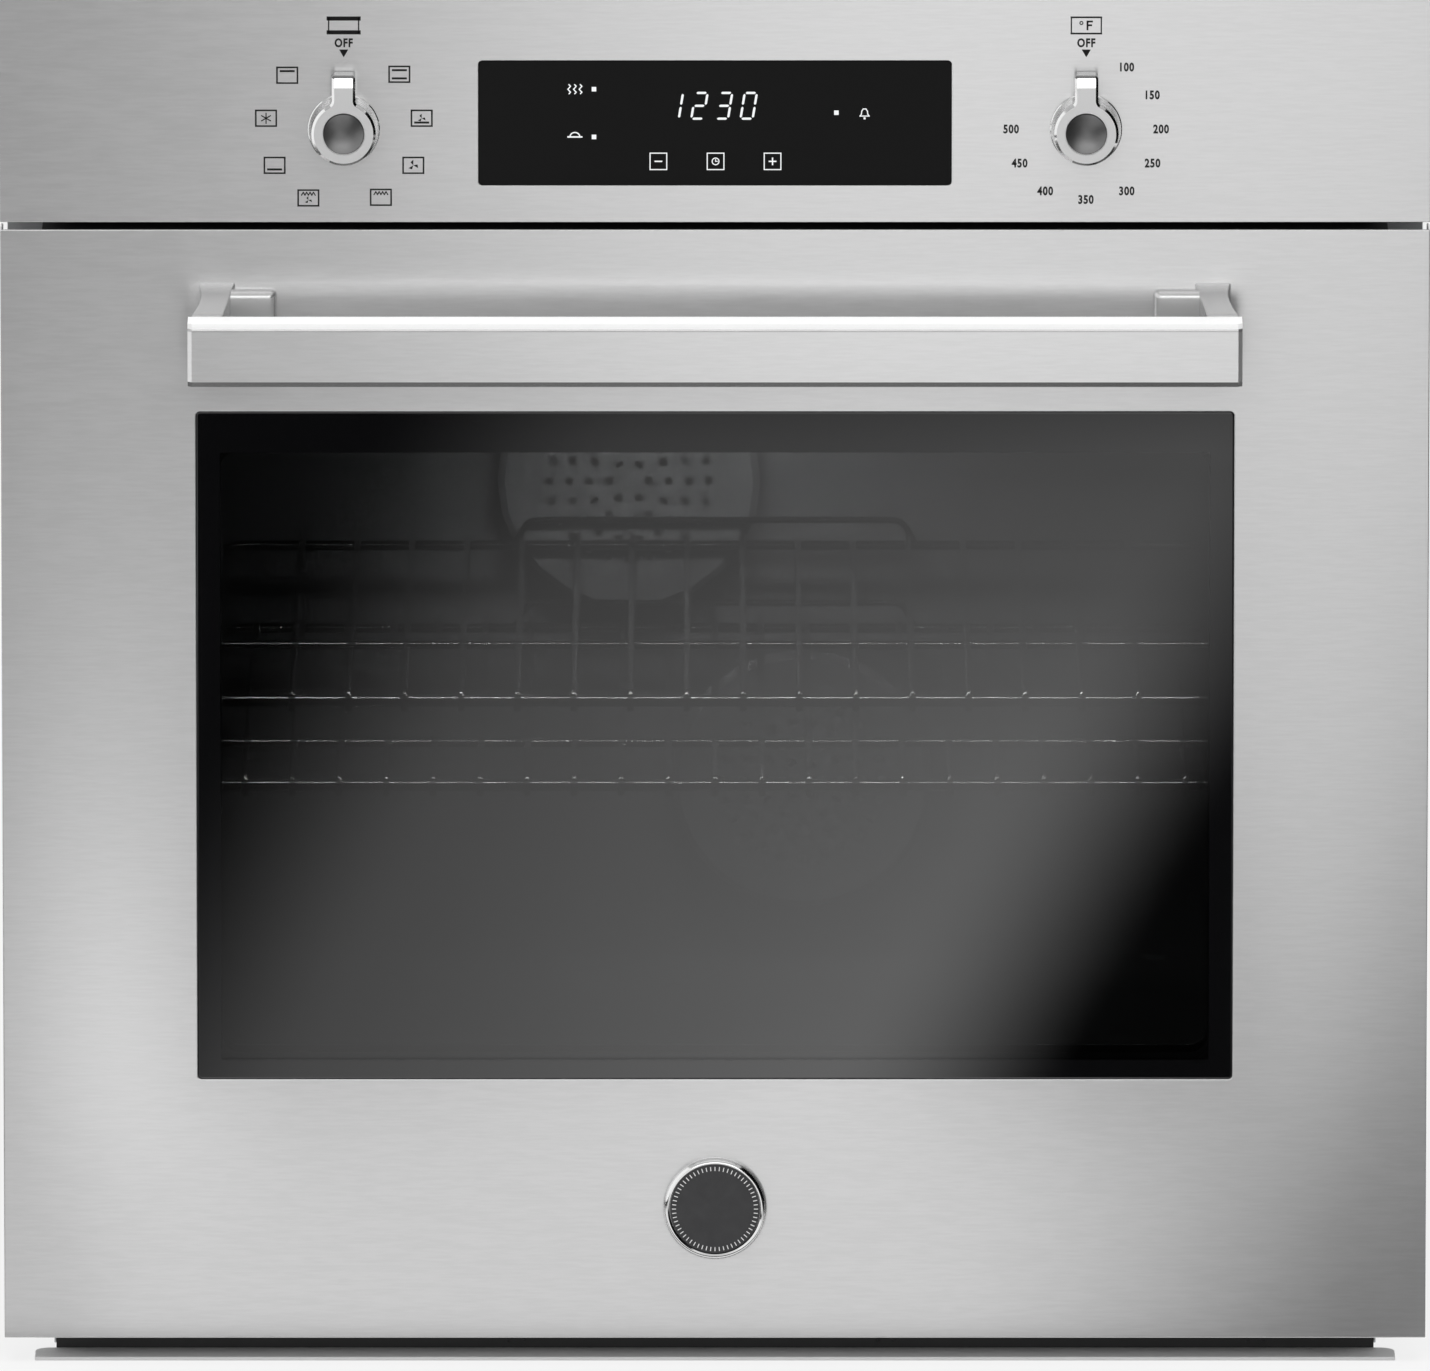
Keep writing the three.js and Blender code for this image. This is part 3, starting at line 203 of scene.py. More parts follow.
class Nodes:
    """The node tree of a material or a world, with one way to add a node."""

    def __init__(self, owner):
        owner.use_nodes = True
        self.tree = owner.node_tree
        self.tree.nodes.clear()

    def add(self, kind, settings=None, inputs=None):
        node = self.tree.nodes.new(kind)
        for name, value in (settings or {}).items():
            setattr(node, name, value)
        for key, value in (inputs or {}).items():
            self.feed(node.inputs[key], value)
        return node

    def value(self, kind, settings=None, inputs=None, output=0):
        return Wire(self, self.add(kind, settings, inputs).outputs[output])

    def feed(self, socket, value):
        if isinstance(value, Wire):
            self.tree.links.new(value.socket, socket)
        elif socket.type == "RGBA" and len(value) == 3:
            socket.default_value = (*value, 1.0)
        else:
            socket.default_value = value

    def place(self):
        """Object coordinates, which are the frame's own."""
        return self.value("ShaderNodeTexCoord", output=3)

    def axes(self, vector=None):
        node = self.add("ShaderNodeSeparateXYZ", None, {0: vector or self.place()})
        return [Wire(self, output) for output in node.outputs]

    def stretched(self, scale):
        return self.value("ShaderNodeMapping", None, {"Vector": self.place(), "Scale": scale})

    def noise(self, scale, detail=2.0, vector=None, rough=0.5):
        inputs = {"Scale": scale, "Detail": detail, "Roughness": rough, "Vector": vector or self.place()}
        return self.value("ShaderNodeTexNoise", None, inputs)

    def cells(self, scale, output=0):
        return self.value("ShaderNodeTexVoronoi", None, {"Scale": scale, "Vector": self.place()}, output)

    def blend(self, factor, first, second):
        return self.value("ShaderNodeMix", {"data_type": "RGBA"}, {0: factor, 6: first, 7: second}, 2)

    def bump(self, height, distance, strength):
        return self.value("ShaderNodeBump", None, {"Height": height, "Distance": distance, "Strength": strength})

    def ray(self, *kinds):
        """1 for a ray of any of the named kinds."""
        path = self.add("ShaderNodeLightPath")
        first, *others = [Wire(self, path.outputs[kind]) for kind in kinds]
        for other in others:
            first = first.most(other)
        return first

    def glow(self, strength):
        return self.value("ShaderNodeEmission", None, {"Color": (1, 1, 1), "Strength": strength})

    def mixed(self, factor, first, second):
        """The first shader where the factor is 0, the second where it is 1."""
        return self.value("ShaderNodeMixShader", None, {0: factor, 1: first, 2: second})

    def pane(self, ior, tint, rough):
        """Clear tinted glass that mirrors more at a slant."""
        sheen = self.value("ShaderNodeFresnel", None, {"IOR": ior})
        mirror = self.value("ShaderNodeBsdfGlossy", None, {"Color": (1, 1, 1), "Roughness": rough})
        through = self.value("ShaderNodeBsdfTransparent", None, {"Color": tuple(tint)})
        return self.mixed(sheen, through, mirror)

    def surface(self, **inputs):
        """A Principled surface; sockets are named with underscores for spaces."""
        named = {key.replace("_", " "): value for key, value in inputs.items()}
        return self.value("ShaderNodeBsdfPrincipled", None, named)

    def clouded(self, cloud, dark, light, rough, gain, **inputs):
        """Ends in a surface that runs from dark to light, and gets rougher, as a cloud thickens."""
        colour = self.blend(cloud, dark, light)
        self.finish(self.surface(Base_Color=colour, Roughness=rough + cloud * gain, **inputs))

    def finish(self, shader, output="ShaderNodeOutputMaterial"):
        self.add(output, None, {"Surface": shader})


FINISHES = {}


def finish_named(make):
    """Makes each finish once, under its own name."""

    def named(*args):
        key = (make.__name__, *args)
        if key not in FINISHES:
            material = bpy.data.materials.new("_".join(str(part) for part in key))
            make(Nodes(material), bpy.context.scene.oven_finish, *args)
            FINISHES[key] = material
        return FINISHES[key]

    return named


def grey(level):
    return (level, level, level)


@finish_named
def brushed_steel(nodes, colours, tone=1.0):
    """Stainless steel with short fine scratches along X."""
    scale = (75.0, 850.0, 850.0)
    fine = nodes.noise(1.0, 2.0, nodes.stretched(scale), 0.55)
    broad = nodes.noise(1.0, 1.0, nodes.stretched([size * 0.22 for size in scale]))
    grain = fine * 0.78 + broad * 0.22
    steel = Vector(colours.steel) * tone
    colour = nodes.blend(grain.step(0.3, 0.7), steel * 0.965, steel * 1.03)
    normal = nodes.bump(fine, 0.012 * MM, colours.grain)
    inputs = {"Base_Color": colour, "Metallic": 0.72, "Roughness": 0.19 + grain * 0.06, "Normal": normal}
    nodes.finish(nodes.surface(**inputs, Anisotropic=0.5, Anisotropic_Rotation=0.25))


@finish_named
def satin_steel(nodes, colours):
    """The folded trim: a duller steel than the fronts."""
    grain = nodes.noise(1.0, 2.0, nodes.stretched((40.0, 700.0, 700.0)))
    steel = Vector(colours.steel)
    nodes.clouded(grain, steel * 1.02, steel * 1.14, 0.5, 0.08, Metallic=0.15)


@finish_named
def pale_satin(nodes, colours):
    """Painted highlight: a pale finish on the bar's top, standing in for the light from above, and on its back, so that
    the door mirrors it light.
    """
    nodes.clouded(nodes.noise(900.0), grey(0.90), grey(0.94), 0.34, 0.06)


@finish_named
def polished_chrome(nodes, colours, shade=1.0):
    # A shade below 1 is a darkened copy of the chrome, used as painted shade.
    tone = Vector(colours.chrome) * shade
    nodes.clouded(nodes.noise(90.0, 3.0), tone * 0.97, tone, 0.08, 0.05, Metallic=1.0)


@finish_named
def polished_steel(nodes, colours):
    """Cast brackets: the fronts' steel, polished smooth."""
    steel = Vector(colours.steel)
    nodes.clouded(nodes.noise(70.0, 3.0), steel * 0.95, steel, 0.24, 0.05, Metallic=0.78)


@finish_named
def satin_chrome(nodes, colours):
    """Knob faces: plated and finely satined."""
    fine, tone = nodes.noise(2600.0), Vector(colours.chrome)
    normal = nodes.bump(fine, 0.01 * MM, 0.4)
    nodes.clouded(fine, tone * 0.97, tone * 1.05, 0.32, 0.08, Metallic=1.0, Normal=normal)


@finish_named
def zinc_sheet(nodes, colours):
    """Zinc-coated sheet with its spangle."""
    flakes = nodes.axes(nodes.cells(55.0, 1))[0]
    wear = nodes.noise(6.0, 4.0)
    tone = Vector(colours.zinc)
    colour = nodes.blend(flakes * 0.7 + wear * 0.3, tone * 0.86, tone * 1.08)
    rough = 0.36 + flakes * 0.12 + wear * 0.05
    nodes.finish(nodes.surface(Base_Color=colour, Metallic=0.92, Roughness=rough))


@finish_named
def speckled_enamel(nodes, colours):
    """Vitreous enamel with light flecks."""
    flecks = nodes.cells(420.0).step(0.16, 0.10) * nodes.noise(130.0).step(0.52, 0.6) * 0.55
    cloud = nodes.noise(14.0, 3.0)
    tone = Vector(colours.enamel)
    colour = nodes.blend(flecks, nodes.blend(cloud, tone * 0.8, tone * 1.25), (0.33, 0.34, 0.35))
    normal = nodes.bump(nodes.noise(160.0), 0.05 * MM, 0.4)
    nodes.finish(nodes.surface(Base_Color=colour, Roughness=0.2 + cloud * 0.1, Normal=normal, Coat_Weight=0.3))


@finish_named
def black_paint(nodes, colours):
    peel = nodes.bump(nodes.noise(900.0), 0.03 * MM, 0.5)
    nodes.clouded(nodes.noise(30.0, 4.0), grey(0.010), grey(0.018), 0.42, 0.12, Normal=peel)


@finish_named
def black_plastic(nodes, colours):
    grain = nodes.bump(nodes.cells(1500.0), 0.02 * MM, 0.4)
    cloud = nodes.noise(40.0, 3.0)
    nodes.clouded(cloud, (0.014, 0.014, 0.015), (0.024, 0.024, 0.025), 0.38, 0.1, Normal=grain)


@finish_named
def knob_cap(nodes, colours):
    """Dark satin plating, finely spun."""
    nodes.clouded(nodes.noise(260.0, 3.0), grey(0.17), grey(0.21), 0.3, 0.06, Metallic=0.9)


@finish_named
def window_glass(nodes, colours):
    """Outer pane: a dark printed border round a tinted see-through field."""
    x, _, z = nodes.axes()
    half, foot, tall, soft = 262 * MM, low("glass_frame").z + 21.4 * MM, 328 * MM, 0.25 * MM
    head = foot + tall
    inside = abs(x).step(half + soft, half) * z.step(foot - soft, foot) * z.step(head + soft, head)
    clear = nodes.pane(1.86, colours.glass_tint, 0.012 + nodes.noise(7.0, 3.0) * 0.012)
    printed = nodes.surface(Base_Color=(0.004, 0.004, 0.0045), Roughness=0.02, IOR=2.0)
    nodes.finish(nodes.mixed(inside, printed, clear))


@finish_named
def inner_glass(nodes, colours):
    nodes.finish(nodes.pane(1.16, (0.86, 0.87, 0.87), 0.03 + nodes.noise(9.0, 4.0) * 0.03))


@finish_named
def display_glass(nodes, colours):
    smear = nodes.noise(12.0, 3.0)
    nodes.clouded(smear, grey(0.0122), grey(0.0132), 0.55, 0.06, Specular_IOR_Level=0.02)


@finish_named
def printed_ink(nodes, colours):
    tone = Vector(colours.ink)
    nodes.clouded(nodes.noise(700.0), tone * 0.85, tone * 1.2, 0.6, 0.1, Specular_IOR_Level=0.1)


@finish_named
def lit_figures(nodes, colours):
    tone = Vector(colours.glow)
    glow = nodes.blend(nodes.noise(400.0), tone * 0.97, tone)
    nodes.finish(nodes.surface(Base_Color=grey(0.02), Roughness=0.5, Emission_Color=glow, Emission_Strength=1.0))


@finish_named
def chromed_wire(nodes, colours):
    # The low tone is painted shade: the chrome is darkened so the wires show dark against the lit back wall; the noise
    # between the two tones is wear.
    wear = nodes.noise(60.0, 3.0)
    nodes.clouded(wear, (0.23, 0.23, 0.225), (0.32, 0.32, 0.315), 0.10, 0.12, Metallic=1.0)


@finish_named
def heater_sheath(nodes, colours):
    bloom = nodes.noise(45.0, 4.0)
    nodes.clouded(bloom, (0.05, 0.047, 0.045), (0.14, 0.125, 0.115), 0.4, 0.2, Metallic=0.7)


@finish_named
def fibre_braid(nodes, colours):
    x, _, z = nodes.axes()
    weave = ((x + z) * 2400.0).sine() * ((x - z) * 2400.0).sine()
    fuzz = nodes.noise(500.0, 3.0)
    colour = nodes.blend(weave * 0.3 + fuzz, (0.10, 0.095, 0.085), (0.26, 0.25, 0.23))
    nodes.finish(nodes.surface(Base_Color=colour, Roughness=0.9, Normal=nodes.bump(weave, 0.4 * MM, 0.8)))


@finish_named
def lamp_cover(nodes, colours):
    frost = nodes.noise(300.0, 3.0)
    nodes.clouded(frost, (0.72, 0.70, 0.64), (0.85, 0.83, 0.78), 0.12, 0.1, Coat_Weight=0.6)


@finish_named
def badge_face(nodes, colours):
    """Cast dark ground of the bare badge, finely pebbled."""
    colour = nodes.blend(nodes.noise(120.0, 3.0), (0.036, 0.036, 0.038), (0.060, 0.060, 0.062))
    normal = nodes.bump(nodes.cells(1900.0), 0.12 * MM, 0.8)
    nodes.finish(nodes.surface(Base_Color=colour, Metallic=0.4, Roughness=0.5, Normal=normal))


# ------------------------------------------------------------------ meshes


def solid_piece(name, mesh, body, slot, *materials, replaces=()):
    """Puts a finished mesh into the scene as a piece of the oven."""
    piece = bpy.data.objects.new(name, mesh)
    bpy.context.scene.collection.objects.link(piece)
    mesh.materials.clear()
    for material in materials:
        mesh.materials.append(material)
    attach(piece, body)
    if replaces:
        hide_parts(*replaces)
    return piece


def as_mesh(builder, name):
    """A bmesh as it stands, as a mesh."""
    mesh = bpy.data.meshes.new(name)
    builder.to_mesh(mesh)
    builder.free()
    return mesh


def mesh_from(builder, name, smooth=30.0):
    """Closes a bmesh into a mesh whose flat faces stay flat and whose rounded edges blend into them."""
    bmesh.ops.remove_doubles(builder, verts=builder.verts, dist=1e-7)
    bmesh.ops.recalc_face_normals(builder, faces=builder.faces)
    limit = math.cos(math.radians(smooth))
    normals = []
    for face in builder.faces:
        face.smooth = True
        for corner in face.loops:
            total = face.normal * face.calc_area()
            for other in corner.vert.link_faces:
                if other is not face and other.normal.dot(face.normal) > limit:
                    total = total + other.normal * other.calc_area()
            normals.append(total.normalized() if total.length > 0 else face.normal.copy())
    mesh = as_mesh(builder, name)
    mesh.normals_split_custom_set(normals)
    return mesh


def polar(radius, angle):
    return (radius * math.cos(angle), radius * math.sin(angle))


def arc(centre, radius, start, end, steps):
    """Points on an arc from one angle to another, both ends included."""
    turns = [polar(radius, start + (end - start) * i / steps) for i in range(steps + 1)]
    return [(centre[0] + u, centre[1] + v) for u, v in turns]


def bridged(builder, first, second):
    """Faces between two rings; a ring of one point closes the other."""
    count = max(len(first), len(second))
    for i in range(count):
        j = (i + 1) % count
        corners = [first[i % len(first)], first[j % len(first)], second[j % len(second)], second[i % len(second)]]
        unique = list(dict.fromkeys(corners))
        if len(unique) > 2:
            builder.faces.new(unique)


def skinned(builder, rings, closed=False):
    """A skin over a row of rings, with a lid at both ends or joined into a loop."""
    for first, second in zip(rings, rings[1:]):
        bridged(builder, first, second)
    if closed:
        bridged(builder, rings[-1], rings[0])
    else:
        builder.faces.new(rings[0])
        builder.faces.new(list(reversed(rings[-1])))


def prism(builder, outline, start, end):
    """An outline in X and Z, pushed from start to end along Y."""
    near, far = ([builder.verts.new((x, y, z)) for x, z in outline] for y in (start, end))
    builder.faces.new(near)
    builder.faces.new(list(reversed(far)))
    bridged(builder, far, near)


def turned(builder, profile, sides, centre=(0, 0, 0)):
    """A profile of (radius, y) pairs turned about Y; ends on the axis are closed by a point."""
    centre = Vector(centre)
    rings = []
    for radius, y in profile:
        spokes = [polar(radius, math.tau * i / sides) for i in range(sides)] if radius > 1e-7 else [(0, 0)]
        rings.append([builder.verts.new(centre + Vector((x, y, z))) for x, z in spokes])
    for first, second in zip(rings, rings[1:]):
        bridged(builder, first, second)


def rounded(points, radius, steps):
    """A polyline with its inner corners rounded to a radius."""
    route = [Vector(points[0])]
    for before, corner, after in zip(points, points[1:], points[2:]):
        corner = Vector(corner)
        back, ahead = Vector(before) - corner, Vector(after) - corner
        reach = min(radius, back.length * 0.49, ahead.length * 0.49)
        start, end = corner + back.normalized() * reach, corner + ahead.normalized() * reach
        for i in range(steps + 1):
            t = i / steps
            route.append(start * (1 - t) ** 2 + corner * (2 * t * (1 - t)) + end * t**2)
    route.append(Vector(points[-1]))
    return route


def swept(builder, route, radius, sides, closed=False):
    """A round bar along a route, closed at both ends or into a loop."""
    route = [Vector(point) for point in route]
    last = len(route) - 1
    tangent = (route[1] - route[0]).normalized()
    normal = tangent.orthogonal().normalized()
    rings = []
    for i, point in enumerate(route):
        if closed:
            ahead = route[(i + 1) % len(route)] - route[i - 1]
        else:
            ahead = route[min(i + 1, last)] - route[max(i - 1, 0)]
        turn = tangent.rotation_difference(ahead.normalized())
        normal = (turn @ normal).normalized()
        tangent = ahead.normalized()
        side = tangent.cross(normal)
        spokes = [polar(radius, math.tau * k / sides) for k in range(sides)]
        rings.append([builder.verts.new(point + normal * u + side * v) for u, v in spokes])
    skinned(builder, rings, closed)


def lofted(builder, sections):
    """A solid through outlines that all have the same number of points."""
    skinned(builder, [[builder.verts.new(point) for point in section] for section in sections])


def rounded_box(low_u, high_u, low_v, high_v, radius, steps):
    """A rectangle's outline with rounded corners."""
    corners = (
        (high_u - radius, high_v - radius), (low_u + radius, high_v - radius),
        (low_u + radius, low_v + radius), (high_u - radius, low_v + radius),
    )
    quarter = math.pi / 2
    arcs = [arc(corner, radius, quarter * k, quarter * (k + 1), steps) for k, corner in enumerate(corners)]
    return [point for part in arcs for point in part]


def softened(node, width, segments):
    """A copy of a frame node with its edges rounded."""
    builder = bmesh.new()
    builder.from_mesh(frame["nodes"][node].data)
    bmesh.ops.remove_doubles(builder, verts=builder.verts, dist=1e-5)
    bmesh.ops.dissolve_limit(builder, angle_limit=math.radians(1), verts=builder.verts, edges=builder.edges)
    sharp = [edge for edge in builder.edges if edge.is_manifold and edge.calc_face_angle(0) > math.radians(25)]
    bmesh.ops.bevel(
        builder, geom=sharp, offset=width, offset_type="OFFSET", segments=segments, profile=0.5, affect="EDGES",
        clamp_overlap=True,
    )
    return mesh_from(builder, node + "_soft", 50.0)


# ------------------------------------------------------------------ geometry nodes


def copies_group(name, extra):
    """A node group that sets copies of a geometry on a line of points; extra inputs are vectors."""
    group = bpy.data.node_groups.new(name, "GeometryNodeTree")
    inputs = [("Geometry", "Geometry", None), ("Count", "Int", 10)]
    inputs += [(label, "Vector", default) for label, default in extra] + [("Finish", "Material", None)]
    for label, kind, default in inputs:
        socket = group.interface.new_socket(label, in_out="INPUT", socket_type="NodeSocket" + kind)
        if default is not None:
            socket.default_value = default
    group.interface.new_socket("Geometry", in_out="OUTPUT", socket_type="NodeSocketGeometry")
    start, end = group.nodes.new("NodeGroupInput"), group.nodes.new("NodeGroupOutput")
    line, copies = group.nodes.new("GeometryNodeMeshLine"), group.nodes.new("GeometryNodeInstanceOnPoints")
    real, paint = group.nodes.new("GeometryNodeRealizeInstances"), group.nodes.new("GeometryNodeSetMaterial")
    for source, outlet, target, inlet in (
        (start, "Count", line, "Count"),
        (line, "Mesh", copies, "Points"),
        (start, "Geometry", copies, "Instance"),
        (copies, "Instances", real, "Geometry"),
        (real, "Geometry", paint, "Geometry"),
        (start, "Finish", paint, "Material"),
        (paint, "Geometry", end, "Geometry"),
    ):
        group.links.new(source.outputs[outlet], target.inputs[inlet])
    return group, start, line, copies


def row_tree():
    """Copies of a geometry in a straight row."""
    group, start, line, _ = copies_group("Row of copies", [("Start", (0, 0, 0)), ("Step", (0.01, 0, 0))])
    group.links.new(start.outputs["Start"], line.inputs["Start Location"])
    group.links.new(start.outputs["Step"], line.inputs["Offset"])
    return group


def ring_tree():
    """Copies of a geometry round the Y axis, each turned to face outwards."""
    group, start, line, copies = copies_group("Ring of copies", [("Centre", (0, 0, 0))])
    nodes, links = group.nodes, group.links
    index, turn = nodes.new("GeometryNodeInputIndex"), nodes.new("ShaderNodeCombineXYZ")
    share, angle = nodes.new("ShaderNodeMath"), nodes.new("ShaderNodeMath")
    share.operation, angle.operation = "DIVIDE", "MULTIPLY"
    angle.inputs[1].default_value = math.tau
    line.inputs["Offset"].default_value = (0, 0, 0)
    links.new(start.outputs["Centre"], line.inputs["Start Location"])
    links.new(index.outputs[0], share.inputs[0])
    links.new(start.outputs["Count"], share.inputs[1])
    links.new(share.outputs[0], angle.inputs[0])
    links.new(angle.outputs[0], turn.inputs["Y"])
    links.new(turn.outputs[0], copies.inputs["Rotation"])
    return group


def copied(tree, mesh, name, **values):
    """Runs a node group on a mesh and returns the result as a plain mesh with a name."""
    group = bpy.data.node_groups.get(tree.__name__) or tree()
    group.name = tree.__name__
    maker = bpy.data.objects.new("maker", mesh)
    bpy.context.scene.collection.objects.link(maker)
    modifier = maker.modifiers.new("Copies", "NODES")
    modifier.node_group = group
    for socket in group.interface.items_tree:
        if socket.in_out == "INPUT" and socket.name in values:
            modifier[socket.identifier] = values[socket.name]
    result = evaluated(maker)
    result.name = name
    return result


def evaluated(maker):
    """The mesh that an object's modifiers or curve make; the object itself goes."""
    graph = bpy.context.evaluated_depsgraph_get()
    mesh = bpy.data.meshes.new_from_object(maker.evaluated_get(graph), depsgraph=graph)
    bpy.data.objects.remove(maker)
    return mesh


def merged(*meshes):
    builder = bmesh.new()
    for mesh in meshes:
        builder.from_mesh(mesh)
    return builder


def wirework(node, body, bars, wire, count, start, step):
    """Bars and a row of copies of one wire, as the piece that takes a node's place."""
    strand = mesh_from(wire, node + "_wire", 60.0)
    row = copied(row_tree, strand, node + "_row", Count=count, Start=start, Step=step, Finish=chromed_wire())
    mesh = as_mesh(merged(mesh_from(bars, node + "_bars", 60.0), row), node + "_wires")
    mesh.shade_smooth()
    solid_piece(node + "_wires", mesh, body, SLOT_OF[node], chromed_wire(), replaces=(node,))


# ------------------------------------------------------------------ marks


class Pen:
    """Draws thin raised marks on a face that looks towards -Y; its measures are millimetres from a centre."""

    def __init__(self, builder, front, x, z):
        self.builder, self.front, self.x, self.z = builder, front, x, z

    def moved(self, x, z):
        return Pen(self.builder, self.front, self.x + x * MM, self.z + z * MM)

    def fill(self, points):
        outline = [(self.x + x * MM, self.z + z * MM) for x, z in points]
        prism(self.builder, outline, self.front - 0.04 * MM, self.front + 0.02 * MM)

    def line(self, points, width, closed=False):
        """A line of even width with square ends."""
        for start, end in zip(points, points[1:] + points[:1] if closed else points[1:]):
            start, end = Vector(start), Vector(end)
            run = (end - start).normalized() * (width / 2)
            side = Vector((-run.y, run.x))
            self.fill([start - run - side, end + run - side, end + run + side, start - run + side])

    def box(self, half, tall, width):
        self.line([(-half, -tall), (half, -tall), (half, tall), (-half, tall)], width, True)


def words_mesh(text, size):
    """Text as a flat solid that stands upright and faces -Y, its middle at the origin."""
    curve = bpy.data.curves.new("words", "FONT")
    curve.body = text
    curve.size = size
    curve.align_x, curve.align_y = "CENTER", "CENTER"
    curve.extrude = 0.03 * MM
    curve.offset = 0.038 * size
    curve.resolution_u = 3
    curve.space_character = 1.14
    holder = bpy.data.objects.new("words", curve)
    bpy.context.scene.collection.objects.link(holder)
    mesh = evaluated(holder)
    mesh.transform(Matrix.Rotation(math.pi / 2, 4, "X"))
    return mesh


# ------------------------------------------------------------------ dressing the frame

SLOT_OF = {row["node"]: row["material_slot"] for row in frame["record"]["subparts"]}


def dress(nodes, finish, width=0.4 * MM, segments=1):
    """Rounds the edges of frame nodes and gives them a finish."""
    for node in nodes:
        body = frame["nodes"][node]["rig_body"]
        solid_piece("oven_" + node, softened(node, width, segments), body, SLOT_OF[node], finish, replaces=(node,))


def pairs(*names):
    return [name + side for name in names for side in ("_left", "_right")]


def levels(*names):
    return [name + level for name in names for level in ("_upper", "_lower")]


# ------------------------------------------------------------------ the stage


def staged(name, data):
    """Puts a camera, lamp or sheet into the scene as part of the stage."""
    thing = bpy.data.objects.new(name, data)
    bpy.context.scene.collection.objects.link(thing)
    return thing


def one_face(name, corners, material):
    mesh = bpy.data.meshes.new(name)
    mesh.from_pydata(corners, [], [(0, 1, 2, 3)])
    mesh.materials.append(material)
    return staged(name, mesh)


def flat_sheet(name, side, start, end, height, material):
    """A horizontal face as wide on both sides, between two values of y."""
    corners = [(-side, start, height), (side, start, height), (side, end, height), (-side, end, height)]
    return one_face(name, corners, material)


def for_mirrors_only(sheet):
    """Hides a sheet from all but the polished surfaces."""
    sheet.visible_camera = False
    sheet.visible_diffuse = False
    sheet.visible_transmission = False
    sheet.visible_shadow = False


def rectangle_lamp(name, place, tilt, size, power, glints):
    """A lamp of two sizes, tilted in degrees about X; glints are its mirror images."""
    light = bpy.data.lights.new(name, "AREA")
    light.shape, light.energy = "RECTANGLE", power
    light.size, light.size_y = size
    lamp = staged(name, light)
    lamp.location, lamp.rotation_euler = place, (math.radians(tilt), 0, 0)
    lamp.visible_glossy = glints
    return lamp


# The room in front, as the door mirrors it: how much brighter each patch is, and where it starts and ends, in metres
# across the door and up it. A pair runs from where the patch is absent to where it is full.
ROOM_PATCHES = (
    (0.85, ((-0.38, -0.32), (-0.22, -0.275)), ((0.06, 0.20), (0.55, 0.45))),
    (0.75, ((0.36, 0.31), (0.24, 0.28)), ((0.10, 0.22), (0.45, 0.35))),
    (0.80, ((-0.26, -0.14), (0.30, 0.05)), ((0.50, 0.56), (0.72, 0.63))),
    (0.14, ((-0.30, -0.24), (0.30, 0.24)), ((0.17, 0.14), (0.06, 0.11))),
    (0.09, (), ((0.10, 0.03),)),
    (-0.52, ((0.0, -0.24),), ((0.60, 0.70),)),
    (-0.16, ((-0.30, -0.36),), ()),
    (-0.20, ((0.31, 0.38),), ((0.45, 0.25), (0.02, 0.12))),
)


class OVEN_OT_camera(bpy.types.Operator):
    """Stand a long lens in front of the oven, looking slightly down"""

    bl_idname = "oven.camera"
    bl_label = "Camera"

    def execute(self, context):
        setup = context.scene.oven_stage
        lens = bpy.data.cameras.new("camera")
        lens.lens = setup.lens
        lens.sensor_width = 36.0
        camera = staged("camera", lens)
        distance = setup.field * setup.lens / lens.sensor_width
        away = Vector((0, -math.cos(setup.pitch), math.sin(setup.pitch)))
        camera.location = Vector((0, FRONT, setup.aim)) + away * distance
        camera.rotation_euler = (math.pi / 2 - setup.pitch, 0, 0)
        lens.clip_start, lens.clip_end = 0.1, distance * 10
        context.scene.camera = camera
        return {"FINISHED"}


